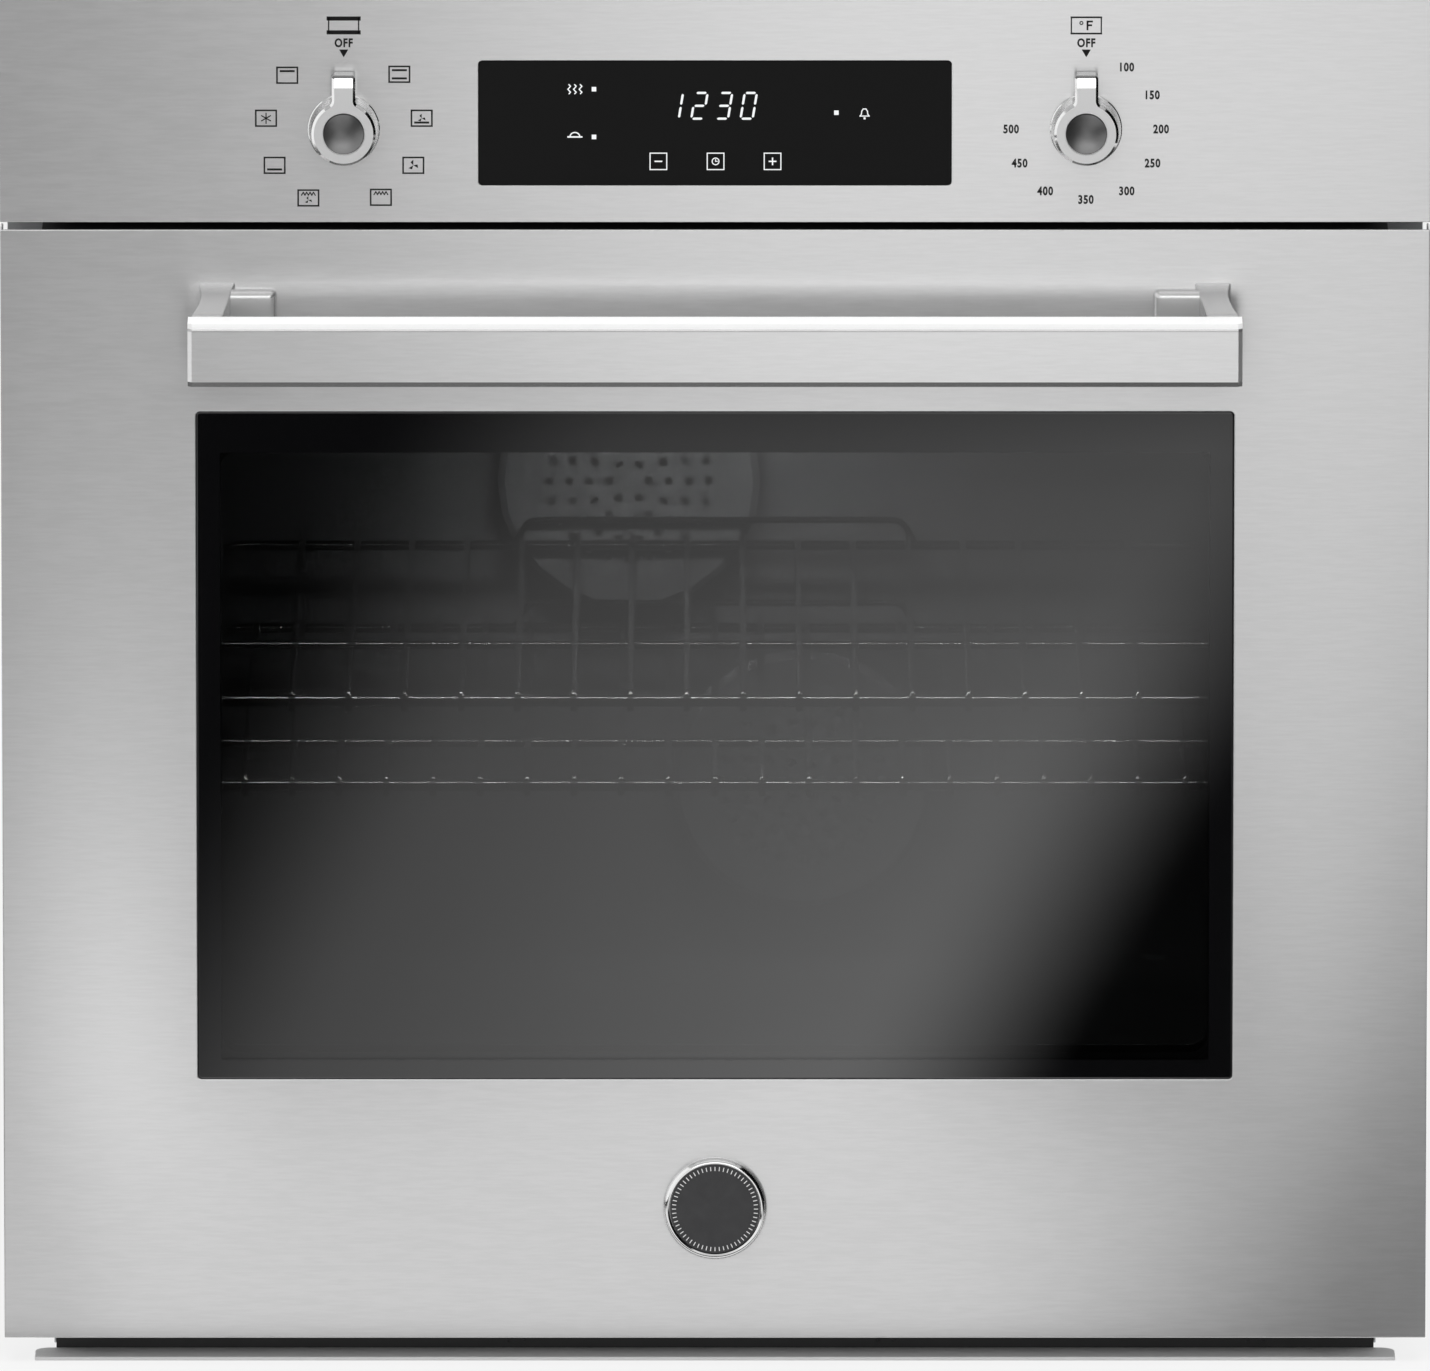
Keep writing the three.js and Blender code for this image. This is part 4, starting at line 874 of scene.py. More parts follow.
class OVEN_OT_stage(bpy.types.Operator):
    """Lay the pale floor, and light the oven from above and from the front"""

    bl_idname = "oven.stage"
    bl_label = "Stage"

    def execute(self, context):
        context.scene.view_settings.view_transform = "Standard"
        self.world(context)
        self.floor()
        self.window_room(context.scene.camera.location)
        self.side_boards()
        self.lamps()
        return {"FINISHED"}

    def world(self, context):
        world = bpy.data.worlds.new("studio")
        context.scene.world = world
        nodes = Nodes(world)
        seen, glossy = nodes.ray("Is Camera Ray", "Is Transmission Ray"), nodes.ray("Is Glossy Ray")
        up = nodes.axes(nodes.value("ShaderNodeTexCoord", output=0))[2]
        mirrored = 0.78 - up.step(0.60, 0.70) * up.step(0.90, 0.80) * 0.3
        lighting = {"Color": (1, 1, 1), "Strength": 0.55 * (1 - glossy) + mirrored * glossy}
        room = nodes.value("ShaderNodeBackground", None, lighting)
        white = nodes.value("ShaderNodeBackground", None, {"Color": (1, 1, 1), "Strength": 1.0})
        nodes.finish(nodes.mixed(seen, room, white), "ShaderNodeOutputWorld")

    def floor(self):
        material = bpy.data.materials.new("pale_floor")
        nodes = Nodes(material)
        seen = nodes.ray("Is Camera Ray", "Is Transmission Ray", "Is Glossy Ray")
        colour = nodes.blend(nodes.noise(3.0), grey(0.72), grey(0.74))
        matt = nodes.value("ShaderNodeBsdfDiffuse", None, {"Color": colour})
        nodes.finish(nodes.mixed(seen * 0.8, matt, nodes.glow(1.0)))
        flat_sheet("floor", 30, -30, 30, 0.0, material)

    def window_room(self, eye):
        """The bright and dark parts of the room in front, which only polished surfaces show."""
        material = bpy.data.materials.new("room_in_the_glass")
        nodes = Nodes(material)
        x, y, _ = nodes.axes()
        # A point of the sheet shows in the door where the line from the lens to its mirror image meets the front.
        share = (FRONT - eye.y) / ((FRONT - eye.y) + (FRONT - y))
        across, rise = x * share, (eye.z * (1 - share)).least(0.8)
        # The glass mirrors a slanting band of daylight between a left and a right edge.
        sill = 0.197
        from_left = across - (rise - sill) * 0.508 + 0.262
        from_right = (rise - 0.156) * 0.57 + 0.119 - across
        band = from_left.step(-0.080, 0.070) * from_right.step(-0.072, 0.062)
        level = (0.85 - (rise - sill) * 1.4) * (1 + across * 2.0) * rise.step(0.62, 0.46)
        lift = 1.02 - rise.step(0.33, 0.43) * 0.18 + rise.step(0.478, 0.492) * 0.10
        pane = band * level.most(0.0) * lift + 0.004
        # The steel around it mirrors the walls, which fade away from the band.
        shade = (0.12 + from_left.step(-0.34, -0.04) * 0.88) * (0.26 + from_right.step(-0.36, -0.05) * 0.74)
        room = (0.76 + rise * 0.38) * shade * self.patches(across, rise)
        room = (room * 1.6 - 0.45).most(0.02)
        beside = abs(across).step(0.279, 0.30).most(rise.step(0.525, 0.56)).most(rise.step(0.148, 0.12))
        nodes.finish(nodes.glow((pane + (room - pane) * beside) * (FRONT - y).step(0.03, 0.066)))
        for_mirrors_only(flat_sheet("room_in_the_glass", 8.0, FRONT - 25.0, FRONT - 20 * MM, 2 * MM, material))

    def patches(self, across, rise):
        total = 1.0
        for gain, sideways, upwards in ROOM_PATCHES:
            mask = gain
            for start, end in sideways:
                mask = across.step(start, end) * mask
            for start, end in upwards:
                mask = rise.step(start, end) * mask
            total = total + mask
        return total

    def side_boards(self):
        """A black board on the right and a white one on the left, which only polished surfaces show."""
        low_edge, high_edge = 0.02, 2.0
        rows = (("black_board", 1.5, 0.0, -3.6, 0.8), ("white_board", -1.5, 1.0, -2.8, 0.3))
        for name, x, strength, near, far in rows:
            material = bpy.data.materials.new(name)
            nodes = Nodes(material)
            nodes.finish(nodes.glow(strength))
            near, far = FRONT + near, FRONT + far
            corners = [(x, near, low_edge), (x, far, low_edge), (x, far, high_edge), (x, near, high_edge)]
            for_mirrors_only(one_face(name, corners, material))

    def lamps(self):
        """Two studio lamps, a soft one on the cavity's back wall, and a strip that glints on the racks' noses."""
        rectangle_lamp("overhead", (0, FRONT - 0.3, 2.6), 0, (3.2, 1.6), 42.0, False)
        rectangle_lamp("front", (0.2, FRONT - 5.5, 2.3), 70, (4.0, 1.6), 30.0, True)
        ceiling, back, mouth = high("broil_element").z, high("oven_cavity").y, low("oven_cavity").y
        soft = rectangle_lamp("cavity_back", (-0.01, back - 0.20, ceiling - 0.012), 48, (0.20, 0.05), 1.5, False)
        soft.data.spread = math.radians(90)
        strip = rectangle_lamp("cavity_front", (0, mouth + 0.02, ceiling - 0.005), -12, (0.52, 0.02), 1.4, True)
        soft.visible_camera = strip.visible_camera = False


# ------------------------------------------------------------------ the oven


class OVEN_OT_casing(bpy.types.Operator):
    """Finish the sheet-metal casing, its flanges, hinges and the parts under the top"""

    bl_idname = "oven.casing"
    bl_label = "Casing"

    def execute(self, context):
        zinc = zinc_sheet()
        sheets = ["base_pan", "top_panel", "rear_panel", "rear_cover", "terminal_box", "blower_housing", "air_duct"]
        dress(sheets + pairs("side_panel", "hinge_receiver", "hinge_arm", "flange") + ["latch_body"], zinc, 0.3 * MM)
        self.black_foot(bpy.data.objects["oven_base_pan"])
        black = ["front_frame", "lower_front", "control_housing", "selector_switch", "thermostat"]
        dress(black, black_paint(), 0.3 * MM)
        dress(["control_board"], black_plastic(), 0.2 * MM)
        dress(levels("fan_motor") + ["cooling_wheel", "latch_hook"], zinc, 0.2 * MM)
        return {"FINISHED"}

    def black_foot(self, pan):
        """The strip of the base pan that shows below the door is painted black."""
        pan.data.materials.append(black_paint())
        for face in pan.data.polygons:
            if face.center.y < FRONT + 40 * MM:
                face.material_index = 1


class OVEN_OT_cavity(bpy.types.Operator):
    """Finish the enamelled cavity with its gasket, lamps, covers, fans and heaters"""

    bl_idname = "oven.cavity"
    bl_label = "Cavity"

    def execute(self, context):
        dress(["oven_cavity"], speckled_enamel(), 1.0 * MM, 2)
        dress(levels("fan_cover"), speckled_enamel(), 0.3 * MM)
        dress(["door_gasket"], fibre_braid(), 0.8 * MM, 2)
        dress(pairs("oven_lamp"), lamp_cover(), 0.8 * MM, 2)
        dress(["broil_element"] + levels("ring_element"), heater_sheath(), 0.0)
        dress(levels("convection_fan"), zinc_sheet(), 0.1 * MM)
        return {"FINISHED"}


class OVEN_OT_fronts(bpy.types.Operator):
    """Finish the brushed control panel, door skin and trim plate"""

    bl_idname = "oven.fronts"
    bl_label = "Steel fronts"

    def execute(self, context):
        dress(["door_panel", "control_panel"], brushed_steel(), 0.6 * MM, 3)
        dress(["bottom_trim"], satin_steel(), 0.4 * MM, 2)
        return {"FINISHED"}


class OVEN_OT_door(bpy.types.Operator):
    """Finish the glass panes, the liner and the hinge cases of the door"""

    bl_idname = "oven.door"
    bl_label = "Door"

    def execute(self, context):
        dress(["window_glass_outer"], window_glass(), 0.6 * MM, 2)
        dress(["window_glass_middle", "window_glass_inner"], inner_glass(), 0.4 * MM)
        dress(["glass_frame", "door_liner"], black_paint(), 0.5 * MM, 2)
        dress(pairs("hinge_case"), zinc_sheet(), 0.2 * MM)
        return {"FINISHED"}


class OVEN_OT_handle(bpy.types.Operator):
    """Make the square bar handle and its two curved brackets"""

    bl_idname = "oven.handle"
    bl_label = "Handle"

    def execute(self, context):
        self.bar()
        for side, name in ((-1, "handle_bracket_left"), (1, "handle_bracket_right")):
            self.bracket(side, name)
        return {"FINISHED"}

    def bar(self):
        lo, hi = low("handle_bar"), high("handle_bar")
        cut, lean, fall, edge, rear, end = 3.0 * MM, 1.4 * MM, 2.6 * MM, 1.5 * MM, 1.2 * MM, 2.2 * MM

        def outline(set_back):
            front = lo.y + set_back
            points = [(hi.y - rear, hi.z), (front + lean, hi.z), (front + 0.15 * MM, hi.z - fall)]
            points += [(front, hi.z - fall - edge), (front, lo.z + cut), (front + cut, lo.z), (hi.y - rear, lo.z)]
            return points + [(hi.y, lo.z + rear), (hi.y, hi.z - rear)]

        builder = bmesh.new()
        stations = [(lo.x, end), (lo.x + end, 0.0), (hi.x - end, 0.0), (hi.x, end)]
        lofted(builder, [[(x, y, z) for y, z in outline(back)] for x, back in stations])
        mesh = mesh_from(builder, "handle_bar", 25.0)
        # Lit and shaded copies of the steel, chosen by where each face points: a lighter copy on the front and ends,
        # painted highlight on the top and back, painted shade on the thin edge below the top and darker painted shade
        # underneath.
        finishes = (brushed_steel(1.06), pale_satin(), brushed_steel(0.72), brushed_steel(0.4))
        solid_piece("handle_square_bar", mesh, "door", SLOT_OF["handle_bar"], *finishes, replaces=("handle_bar",))
        for face in mesh.polygons:
            if face.normal.z > 0.3 or face.normal.y > 0.5:
                face.material_index = 1
            elif face.normal.z > 0.05:
                face.material_index = 2
            elif face.normal.z < -0.3:
                face.material_index = 3

    def bracket(self, side, node):
        """A post that leaves the door in a curve and leans out to the bar, and its low foot."""
        lo, hi = low("handle_bar"), high("handle_bar")
        sections = []
        for share in (0.0, 0.02, 0.05, 0.1, 0.17, 0.26, 0.38, 0.52, 0.66, 0.8, 0.92, 0.955, 0.985, 1.0, 1.03):
            y = FRONT + (hi.y - FRONT) * share
            flare = (1 - share) ** 9
            inner = (256.0 + 4.0 * share**1.3 - 2.2 * flare) * MM
            outer = (271.0 + 6.0 * share**2 + 1.6 * flare) * MM
            top = hi.z + (8.0 * (1 - share) + 3.4 * flare - (0.7 if share > 0.96 else 0.0)) * MM
            bottom = lo.z - 6.0 * MM * (1 - share) ** 2
            sections.append(self.section(side, y, inner, outer, bottom, top, 1.1 * MM, 3))
        builder = bmesh.new()
        lofted(builder, sections)
        self.foot(builder, side, low(node).z + 3.0 * MM, high(node).z - 3.4 * MM)
        mesh = mesh_from(builder, node, 40.0)
        solid_piece(node + "_post", mesh, "door", SLOT_OF[node], polished_steel(), replaces=(node,))

    def section(self, side, y, inner, outer, bottom, top, corner, steps):
        """The outline of a bracket at one distance from the door; inner and outer are measured from the middle."""
        return [(x, y, z) for x, z in rounded_box(*sorted((side * inner, side * outer)), bottom, top, corner, steps)]

    def foot(self, builder, side, bottom, top):
        """A low pad on the door beside the post, rounded to the front and at its free end."""
        inner, outer, corner = 231.5 * MM, 262.0 * MM, 3.2 * MM
        depth, soft = 6.5 * MM, 4.6 * MM
        sections = [self.section(side, FRONT, inner, outer, bottom, top, corner, 4)]
        for i in range(11):
            angle = math.pi / 2 * i / 10
            y = FRONT - (depth - soft) - soft * math.sin(angle)
            draw = soft * (1 - math.cos(angle))
            bend = max(corner - draw * 0.5, 0.9 * MM)
            sections.append(self.section(side, y, inner + draw, outer, bottom + draw, top - draw, bend, 4))
        lofted(builder, sections)


class OVEN_OT_racks(bpy.types.Operator):
    """Bend the two wire racks and the ladders that carry them"""

    bl_idname = "oven.racks"
    bl_label = "Racks"

    def execute(self, context):
        racks = context.scene.oven_rack
        self.rack("rack_upper", "upper_rack", racks.upper_count, racks.upper_pitch, 158 * MM, racks)
        self.rack("rack_lower", "lower_rack", racks.lower_count, racks.lower_pitch, 119 * MM, racks)
        for node in pairs("rack_support"):
            self.ladder(node)
        return {"FINISHED"}

    def rack(self, node, body, count, pitch, to_middle_rail, racks):
        """A closed rail, a guard at its back, and cross wires that lie on it and hook over its front."""
        lo, hi = low(node), high(node)
        half, level = hi.x - racks.rail, lo.z + racks.rail
        front, back = lo.y + racks.rail + 1.6 * MM, hi.y - 2 * MM
        middle_rail = front + to_middle_rail
        stop, rise, foot = 102 * MM, 14 * MM, 8 * MM
        bars = bmesh.new()
        loop = [(x, y, level) for x, y in rounded_box(-half, half, front, back, 12 * MM, 5)]
        swept(bars, loop, racks.rail, 14, True)
        swept(bars, [(-half, middle_rail, level), (half, middle_rail, level)], racks.rail * 0.8, 12)
        guard = [(-stop - foot, 0), (-stop, rise), (stop, rise), (stop + foot, 0)]
        swept(bars, rounded([(x, back, level + z) for x, z in guard], 5 * MM, 4), racks.wire, 10)
        lie = level + racks.rail + racks.wire * 0.9
        nose = front - racks.rail - racks.wire * 0.7
        wire = bmesh.new()
        route = [(0, back + 2 * MM, lie), (0, nose, lie), (0, nose, level - racks.rail * 1.5)]
        swept(wire, rounded(route, 3.4 * MM, 5), racks.wire, 10)
        wirework(node, body, bars, wire, count, (-(count - 1) / 2 * pitch, 0, 0), (pitch, 0, 0))

    def ladder(self, node):
        """Two uprights on the side wall with a bowed rung for each level."""
        lo, hi = low(node), high(node)
        side = 1 if lo.x > 0 else -1
        rungs, pitch, first_rung, thick = 7, 46 * MM, 19.2 * MM, 2.5 * MM
        wall = side * (max(abs(lo.x), abs(hi.x)) - thick)
        shelf = side * min(abs(lo.x), abs(hi.x))
        front, back, level = lo.y + thick, hi.y - thick, lo.z + first_rung
        bars = bmesh.new()
        for y in (front, back):
            swept(bars, [(wall, y, lo.z), (wall, y, hi.z)], thick, 12)
        wire = bmesh.new()
        route = [(wall, front, level), (shelf, front, level), (shelf, back, level), (wall, back, level)]
        swept(wire, rounded(route, 5 * MM, 4), thick, 12)
        wirework(node, "chassis", bars, wire, rungs, (0, 0, 0), (0, 0, pitch))


def knob_outline(knob):
    """The knob's outline in X and Z about its axis: a circle with a lever standing on it."""
    fillet, corner, fillet_steps, ring_steps = 3 * MM, 1.3 * MM, 7, 40
    half = knob.lever / 2
    hub = math.sqrt((knob.radius + fillet) ** 2 - (half + fillet) ** 2)
    ring_turn = math.atan2(hub, half + fillet)
    right = [(half - corner, knob.reach), (half, knob.reach - corner), (half, knob.reach * 0.8), (half, hub)]
    right += arc((half + fillet, hub), fillet, math.pi, math.pi + ring_turn, fillet_steps)[1:-1]
    right += arc((0, 0), knob.radius, ring_turn, -math.pi / 2, ring_steps)[:-1]
    return right + [(0, -knob.radius)] + [(-x, z) for x, z in reversed(right)]


def inset(outline, width):
    """The outline moved inwards by a width; the points run clockwise."""
    moved = []
    for i, (x, z) in enumerate(outline):
        before, after = outline[i - 1], outline[(i + 1) % len(outline)]
        run = Vector((after[0] - before[0], after[1] - before[1])).normalized()
        moved.append((x + run.y * width, z - run.x * width))
    return moved


class OVEN_OT_knobs(bpy.types.Operator):
    """Turn the two plated knobs with their levers and dark caps"""

    bl_idname = "oven.knobs"
    bl_label = "Knobs"

    def execute(self, context):
        knob = context.scene.oven_knob
        for name, body in (("function", "function_dial"), ("temperature", "temperature_dial")):
            axis = middle(name + "_knob_cap")
            self.plated(name + "_knob", body, knob, axis)
            self.capped(name + "_knob", body, knob, axis)
        return {"FINISHED"}

    def plated(self, node, body, knob, axis):
        """The ring and lever with a chamfered front edge, a well for the cap and a thin skirt behind."""
        outline = knob_outline(knob)
        bend, chamfer, foot = knob.reach - 6.4 * MM, 1.3 * MM, 1.2 * MM

        def sloped(ring, depth):
            return [builder.verts.new((x, -depth + max(0.0, z - bend) * 0.26, z)) for x, z in ring]

        builder = bmesh.new()
        rows = [[builder.verts.new((x, -foot, z)) for x, z in outline]]
        rows += [sloped(outline, knob.height - chamfer), sloped(inset(outline, chamfer), knob.height)]
        for first, second in zip(rows, rows[1:]):
            bridged(builder, first, second)
        builder.faces.new(rows[0])
        self.split_front(builder, rows[-1], bend, knob)
        skirt = [(0.0, -0.1 * MM), (knob.skirt - 0.3 * MM, -0.1 * MM), (knob.skirt, -0.5 * MM), (knob.skirt, -1.5 * MM)]
        skirt += [(knob.skirt - 0.5 * MM, -2.0 * MM), (0.0, -2.0 * MM)]
        turned(builder, skirt, 72)
        bmesh.ops.translate(builder, verts=builder.verts, vec=(axis.x, FRONT, axis.z))
        mesh = mesh_from(builder, node + "_plated", 12.0)
        finishes = (polished_chrome(), satin_chrome(), polished_steel(), polished_chrome(0.3))
        solid_piece(node + "_plated", mesh, body, SLOT_OF[node], *finishes, replaces=(node,))
        # Faces of the last finish, the darkened chrome, are painted shade: the lever's top chamfer, and the
        # downward-facing side and chamfer of the ring except towards the left.
        for face in mesh.polygons:
            normal, centre = face.normal, face.center
            if normal.y < -0.999:
                face.material_index = 1 if centre.y < FRONT - 8 * MM else 2
            elif normal.z > 0.4 and centre.z > axis.z + knob.reach - 1.4 * MM:
                face.material_index = 3
            elif normal.z < -0.3 and normal.x > -0.3 and centre.y < FRONT - 4 * MM:
                face.material_index = 3

    def split_front(self, builder, top, bend, knob):
        """Closes the front: a flat ring round the well, and the face that slopes back along the lever."""
        split = bend - 0.1 * MM
        first = next(i for i in range(len(top)) if top[i].co.z < split <= top[i - 1].co.z)
        order = top[first:] + top[:first]
        flat = [corner for corner in order if corner.co.z < split]
        crown = [corner for corner in order if corner.co.z >= split]
        builder.faces.new(crown)
        well, sides, deep = knob.cap + 0.45 * MM, 64, 2.6 * MM
        circle = [polar(well, math.tau * i / sides) for i in range(sides)]
        rim, floor = ([builder.verts.new((x, -y, z)) for x, z in circle] for y in (knob.height, knob.height - deep))
        border, hole = [crown[-1], *flat, crown[0]], list(reversed(rim))
        corners = border + hole
        for triangle in tessellate_polygon([[(v.co.x, v.co.z, 0.0) for v in loop] for loop in (border, hole)]):
            builder.faces.new([corners[k] for k in triangle])
        bridged(builder, rim, floor)
        builder.faces.new(floor)

    def capped(self, node, body, knob, axis):
        """The dished cap, a little behind the ring's face."""
        face, back, dish, steps = knob.height - 0.35 * MM, knob.height - 2.7 * MM, 1.9 * MM, 10
        dome = [(0.0, -back), (knob.cap, -back), (knob.cap, 0.4 * MM - face)]
        for i in range(steps + 1):
            share = 1 - i / steps
            dome.append(((knob.cap - 0.3 * MM) * share, dish * (1 - share * share) - face))
        builder = bmesh.new()
        turned(builder, dome, 64)
        bmesh.ops.translate(builder, verts=builder.verts, vec=(axis.x, FRONT, axis.z))
        cap = node + "_cap"
        solid_piece(node + "_dish", mesh_from(builder, node + "_dish"), body, SLOT_OF[cap], knob_cap(), replaces=(cap,))


def set_text(text, x, z):
    """Flat text on the panel, its capitals of one height, centred at x and z."""
    height, narrow = 4.9 * MM, 0.80
    mesh = words_mesh(text, height * 1.4)
    tall = [corner.co.z for corner in mesh.vertices]
    wide = [corner.co.x for corner in mesh.vertices]
    scale = height / (max(tall) - min(tall))
    centre = Vector(((max(wide) + min(wide)) / 2, 0, (max(tall) + min(tall)) / 2))
    sized = Matrix.Diagonal((scale * narrow, 1, scale, 1)) @ Matrix.Translation(-centre)
    mesh.transform(Matrix.Translation((x, FRONT, z)) @ sized)
    return mesh


def bar_sign(pen, level):
    pen.line([(-3.4, level * 2.2), (3.4, level * 2.2)], 1.1)


def fan_sign(pen, size=1.0, drop=0.0):
    pen = pen.moved(0, -drop)
    for k in range(3):
        start = math.tau * k / 3 + math.pi / 2
        pen.fill([(0, 0), polar(2.4 * size, start), polar(1.8 * size, start + 0.75)])


def zigzag_sign(pen):
    pen.line([((k - 4) * 0.9, 3.0 if k % 2 else 1.5) for k in range(9)], 0.6)


def star_sign(pen):
    for k in range(3):
        turn = math.pi * k / 3 + math.pi / 6
        pen.line([polar(2.7, turn + math.pi), polar(2.7, turn)], 0.6)


DEGREES = {
    33: 100, 62.5: 150, 90: 200, 117.5: 250, 147: 300, 180: 350, 213: 400, 242.5: 450, 270: 500,
}  # the number at each angle, clockwise from the top
WAYS = {
    45: ((bar_sign, 1), (bar_sign, -1)),
    82: ((fan_sign,), (bar_sign, -1.05)),
    118: ((fan_sign, 1.25),),
    152: ((zigzag_sign,),),
    207: ((zigzag_sign,), (fan_sign, 0.9, 1.2)),
    242: ((bar_sign, -1),),
    278: ((star_sign,),),
    314: ((bar_sign, 1),),
}  # what stands in the little oven at each angle: one drawing for each way of heating


class OVEN_OT_dial_marks(bpy.types.Operator):
    """Print the marks round both knobs"""

    bl_idname = "oven.dial_marks"
    bl_label = "Dial marks"

    def execute(self, context):
        left, right = middle("function_knob_cap"), middle("temperature_knob_cap")
        texts = []
        for angle, value in DEGREES.items():
            x, z = polar((37.8 if value == 350 else 39.6) * MM, math.radians(90 - angle))
            texts.append(set_text(str(value), right.x + x, right.z + z))
        texts += [set_text("OFF", axis.x, axis.z + 46.2 * MM) for axis in (left, right)]
        builder = merged(*texts)
        pens = [Pen(builder, FRONT, axis.x, axis.z) for axis in (left, right)]
        for pen, bar in zip(pens, (2.2, 0.9)):
            pen.moved(0, 40.6).fill([(-2.4, 2), (2.4, 2), (0, -2.2)])
            self.heading(pen.moved(0, 55.5), bar)
        self.degree_sign(pens[1].moved(0, 55.5))
        for angle, signs in WAYS.items():
            pen = pens[0].moved(*polar(41.5, math.radians(90 - angle)))
            pen.box(5.4, 4.2, 0.85)
            for sign, *sizes in signs:
                sign(pen, *sizes)
        solid_piece("dial_marks", as_mesh(builder, "dial_marks"), "chassis", "black_plastic", printed_ink())
        return {"FINISHED"}

    def heading(self, pen, bar):
        """The oven-shaped box over each dial, with a bar of one width along its top and bottom."""
        half, tall = 7.9, 4.8
        for side in (-1, 1):
            level = side * (tall - bar / 2)
            pen.line([(-half, level), (half, level)], bar)
            pen.line([(side * half, 1 - tall), (side * half, tall - 1)], 0.7)

    def degree_sign(self, pen):
        pen.line(arc((-2.6, 1.3), 0.8, 0, math.tau, 12), 0.5)
        pen.line([(0.6, -2.1), (0.6, 2.1), (3.0, 2.1)], 0.95)
        pen.line([(0.6, 0.1), (2.6, 0.1)], 0.95)


SEGMENTS = {
    "0": "abcdef", "1": "bc", "2": "abged", "3": "abgcd", "4": "fgbc",
    "5": "afgcd", "6": "afgedc", "7": "abc", "8": "abcdefg", "9": "abcdfg",
}


class OVEN_OT_display(bpy.types.Operator):
    """Light the figures, signs and key outlines behind the dark display"""

    bl_idname = "oven.display"
    bl_label = "Display"

    def execute(self, context):
        dress(["display_glass"], display_glass(), 0.4 * MM, 2)
        centre = middle("display_glass")
        builder = bmesh.new()
        pen = Pen(builder, low("display_glass").y, centre.x, centre.z)
        for index, digit in enumerate("1230"):
            self.digit(pen.moved(-22.4 + index * 13.0, 9.2), digit)
        for x, z in ((-63.9, 18.1), (-63.9, -7.5), (64.1, 5.5)):
            self.dot(pen.moved(x, z), 1.2)
        self.keys(pen.moved(0, -20.6))
        self.signs(pen)
        solid_piece("lit_signs", as_mesh(builder, "lit_signs"), "chassis", "display_glass", lit_figures())
        return {"FINISHED"}

    def digit(self, pen, digit):
        lean, thick, gap, tall, wide = 0.16, 1.2, 0.5, 15.0, 7.6
        w, h = wide / 2 - thick / 2, tall / 2 - thick / 2
        runs = {
            "a": ((-w, h), (w, h)), "g": ((-w, 0), (w, 0)), "d": ((-w, -h), (w, -h)),
            "f": ((-w, h), (-w, 0)), "b": ((w, h), (w, 0)), "e": ((-w, 0), (-w, -h)), "c": ((w, 0), (w, -h)),
        }
        for name in SEGMENTS[digit]:
            start, end = (Vector(point) for point in runs[name])
            along = (end - start).normalized()
            side, tip = Vector((-along.y, along.x)) * thick / 2, along * thick / 2
            start, end = start + along * gap, end - along * gap
            corners = [start, start + tip + side, end - tip + side, end, end - tip - side, start + tip - side]
            pen.fill([(p.x + (p.y + tall / 2) * lean, p.y) for p in corners])

    def dot(self, pen, half):
        pen.fill([(-half, -half), (half, -half), (half, half), (-half, half)])

    def keys(self, pen):
        """Less, a clock, and more, each in its square."""
        less, clock, more = (pen.moved(x, 0) for x in (-29.9, 0.3, 30.4))
        for key in (less, clock, more):
            key.box(4.4, 4.4, 0.55)
        less.line([(-1.7, 0), (1.7, 0)], 0.7)
        more.line([(-1.7, 0), (1.7, 0)], 0.7)
        more.line([(0, -1.7), (0, 1.7)], 0.7)
        clock.line([polar(1.8, math.tau * k / 16) for k in range(16)], 0.5, True)
        clock.line([(0, 1.0), (0, 0), (0.9, 0)], 0.45)

    def signs(self, pen):
        """Plain signs for heat, bake and timer, beside their dots."""
        for k in (-1, 0, 1):
            wave = [(0.7 * math.sin(t * 1.6), t * 0.8 - 2.4) for t in range(7)]
            pen.moved(-74 + k * 3.0, 18.1).line(wave, 0.6)
        loaf = pen.moved(-74, -7.5)
        loaf.line([(-3.6, 0), (3.6, 0)], 0.8)
        loaf.line([(2.6 * math.cos(math.pi * k / 10), 2.4 * math.sin(math.pi * k / 10)) for k in range(11)], 0.6)
        bell = pen.moved(79, 5.3)
        half = [(2.4, -1.6), (1.7, -0.6), (1.5, 1.0), (0.7, 2.2)]
        bell.line([(-x, z) for x, z in half] + half[::-1], 0.55, True)
        self.dot(bell.moved(0, -2.8), 0.55)


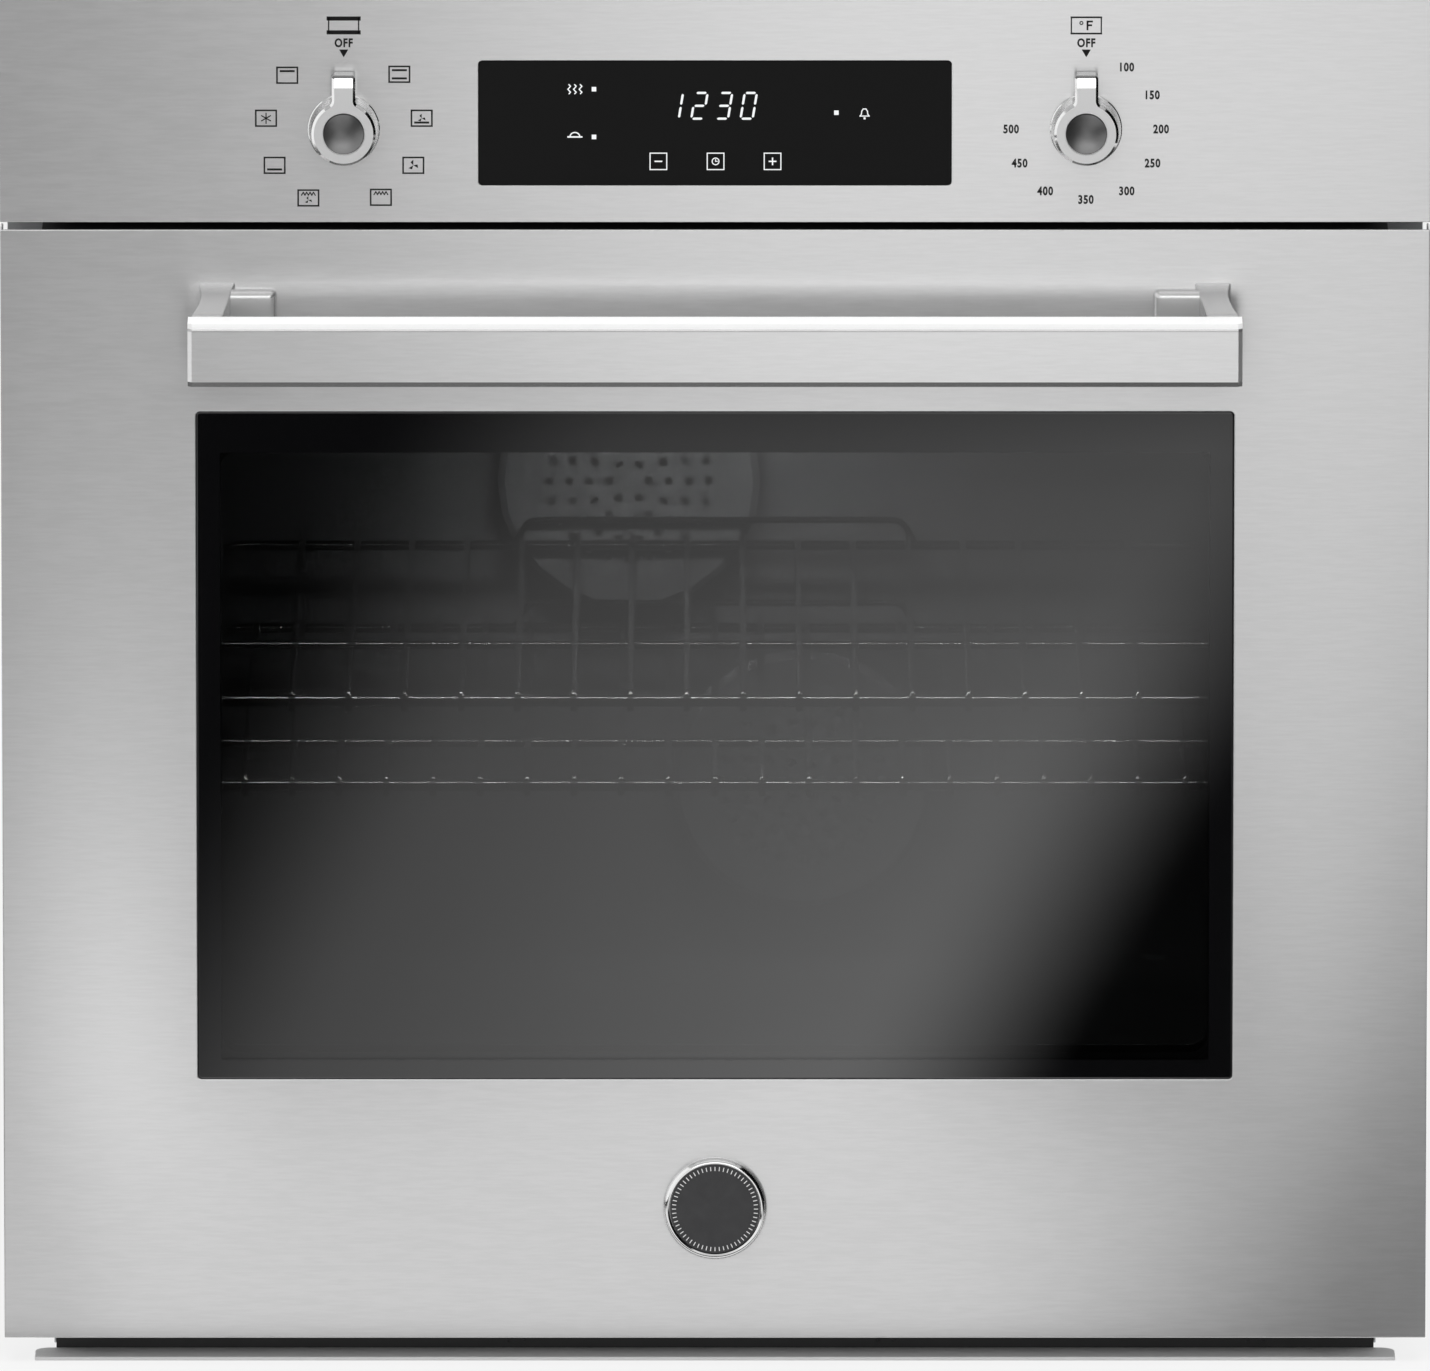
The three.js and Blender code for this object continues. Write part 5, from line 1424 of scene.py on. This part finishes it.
class OVEN_OT_badge(bpy.types.Operator):
    """Turn the bare round badge with its polished rim"""

    bl_idname = "oven.badge"
    bl_label = "Badge"

    def execute(self, context):
        lo, hi = low("badge"), high("badge")
        self.centre = Vector(((lo.x + hi.x) / 2, hi.y, (lo.z + hi.z) / 2))
        radius, depth = (hi.x - lo.x) / 2, hi.y - lo.y
        profile = [(0.0, 0.0), (radius - 0.2 * MM, 0.0), (radius, -0.3 * MM), (radius, -depth * 0.45)]
        drawn_in = ((0.5, 0.72), (1.5, 0.95), (2.4, 1.0), (3.1, 0.93), (3.5, 0.6))
        profile += [(radius - inwards * MM, -depth * share) for inwards, share in drawn_in] + [(0.0, -depth * 0.6)]
        self.disc("badge_rim", profile, 96, 35.0, polished_chrome(), replaces=("badge",))
        inner = radius - 3.6 * MM
        profile = [(0.0, -depth * 0.55), (inner, -depth * 0.55), (inner, -depth * 0.78), (0.0, -depth * 0.80)]
        self.disc("badge_face", profile, 72, 30.0, badge_face())
        self.ticks(hi.y - depth * 0.78, hi.y - depth * 0.87, inner - 1.1 * MM)
        return {"FINISHED"}

    def disc(self, name, profile, sides, smooth, finish, replaces=()):
        builder = bmesh.new()
        turned(builder, profile, sides, self.centre)
        solid_piece(name, mesh_from(builder, name, smooth), "door", SLOT_OF["badge"], finish, replaces=replaces)

    def ticks(self, back, front, outer):
        """A plain ring of short raised ticks inside the rim."""
        builder = bmesh.new()
        half, inner = 0.22 * MM, outer - 2.2 * MM
        prism(builder, [(-half, inner), (half, inner), (half, outer), (-half, outer)], back, front)
        tick = mesh_from(builder, "badge_tick", 20.0)
        place = (self.centre.x, 0.0, self.centre.z)
        ring = copied(ring_tree, tick, "badge_ticks", Count=60, Centre=place, Finish=satin_chrome())
        solid_piece("badge_ticks", ring, "door", SLOT_OF["badge"], satin_chrome())


class OVEN_OT_screws(bpy.types.Operator):
    """Set rows of pan-head screws into the sheets and small ones under the door"""

    bl_idname = "oven.screws"
    bl_label = "Screws"

    def execute(self, context):
        pan, rear, top = "base_pan", "rear_panel", "top_panel"
        for k, x in enumerate((-110 * MM, -102 * MM)):
            ends = ((x, low(pan).y, 6 * MM), (x + 394 * MM, low(pan).y, 6 * MM))
            self.row(f"foot_screws_{k}", pan, "-Y", ends, 1.3 * MM, 3, black_plastic())
        for facing, panel in zip(("-X", "X"), pairs("side_panel")):
            lo, hi = low(panel), high(panel)
            wall = hi.x if facing == "X" else lo.x
            for k, z in enumerate((lo.z + 13 * MM, hi.z - 13 * MM)):
                self.row(f"{panel}_screws_{k}", panel, facing, ((wall, lo.y + 25 * MM, z), (wall, hi.y - 25 * MM, z)))
        lo, hi = low(rear), high(rear)
        for k, x in enumerate((lo.x + 9 * MM, hi.x - 9 * MM)):
            self.row(f"rear_screws_{k}", rear, "Y", ((x, hi.y, lo.z + 20 * MM), (x, hi.y, hi.z - 20 * MM)))
        lo, hi = low(top), high(top)
        for k, y in enumerate((lo.y + 12 * MM, hi.y - 12 * MM)):
            self.row(f"top_screws_{k}", top, "Z", ((lo.x + 25 * MM, y, hi.z), (hi.x - 25 * MM, y, hi.z)))
        return {"FINISHED"}

    def row(self, name, node, facing, ends, radius=2.8 * MM, count=5, finish=None):
        """A row of screws from one point of a sheet to another, their heads towards the side they face."""
        tall = radius * 0.4
        profile = [(0.0, 0.2 * MM), (radius, 0.2 * MM), (radius, -tall * 0.4), (radius * 0.8, -tall * 0.85)]
        profile += [(radius * 0.4, -tall), (radius * 0.3, -tall * 0.4), (0.0, -tall * 0.3)]
        builder = bmesh.new()
        turned(builder, profile, 20)
        angle, axis = {"-Y": (0, "Z"), "Y": (180, "Z"), "X": (90, "Z"), "-X": (-90, "Z"), "Z": (-90, "X")}[facing]
        bmesh.ops.rotate(builder, verts=builder.verts, matrix=Matrix.Rotation(math.radians(angle), 3, axis))
        head, finish = mesh_from(builder, name + "_head"), finish or zinc_sheet()
        start, step = ends[0], tuple((last - first) / (count - 1) for first, last in zip(*ends))
        screws = copied(row_tree, head, name, Count=count, Start=start, Step=step, Finish=finish)
        solid_piece(name, screws, frame["nodes"][node]["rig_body"], SLOT_OF[node], finish)


class OVEN_PT_sidebar(bpy.types.Panel):
    """Lists the steps that build the oven"""

    bl_label = "Wall Oven"
    bl_idname = "OVEN_PT_sidebar"
    bl_space_type = "VIEW_3D"
    bl_region_type = "UI"
    bl_category = "Oven"

    def draw(self, context):
        for step in STEPS:
            self.layout.operator(step.bl_idname)
        for group in ("oven_finish", "oven_knob", "oven_rack", "oven_stage"):
            settings = getattr(context.scene, group)
            for name in settings.bl_rna.properties.keys():
                if name not in ("rna_type", "name"):
                    self.layout.prop(settings, name)


STEPS = (
    OVEN_OT_camera,
    OVEN_OT_stage,
    OVEN_OT_casing,
    OVEN_OT_cavity,
    OVEN_OT_racks,
    OVEN_OT_fronts,
    OVEN_OT_door,
    OVEN_OT_handle,
    OVEN_OT_knobs,
    OVEN_OT_dial_marks,
    OVEN_OT_display,
    OVEN_OT_badge,
    OVEN_OT_screws,
)
SETTINGS = {
    "oven_finish": FinishSettings,
    "oven_knob": KnobSettings,
    "oven_rack": RackSettings,
    "oven_stage": StageSettings,
}


def register():
    for kind in (*SETTINGS.values(), *STEPS, OVEN_PT_sidebar):
        bpy.utils.register_class(kind)
    for name, kind in SETTINGS.items():
        setattr(bpy.types.Scene, name, PointerProperty(type=kind))


def unregister():
    for name in SETTINGS:
        delattr(bpy.types.Scene, name)
    for kind in (OVEN_PT_sidebar, *reversed(STEPS), *SETTINGS.values()):
        bpy.utils.unregister_class(kind)


def main():
    register()
    for step in STEPS:
        group, name = step.bl_idname.split(".")
        getattr(getattr(bpy.ops, group), name)()


if __name__ == "__main__":
    main()
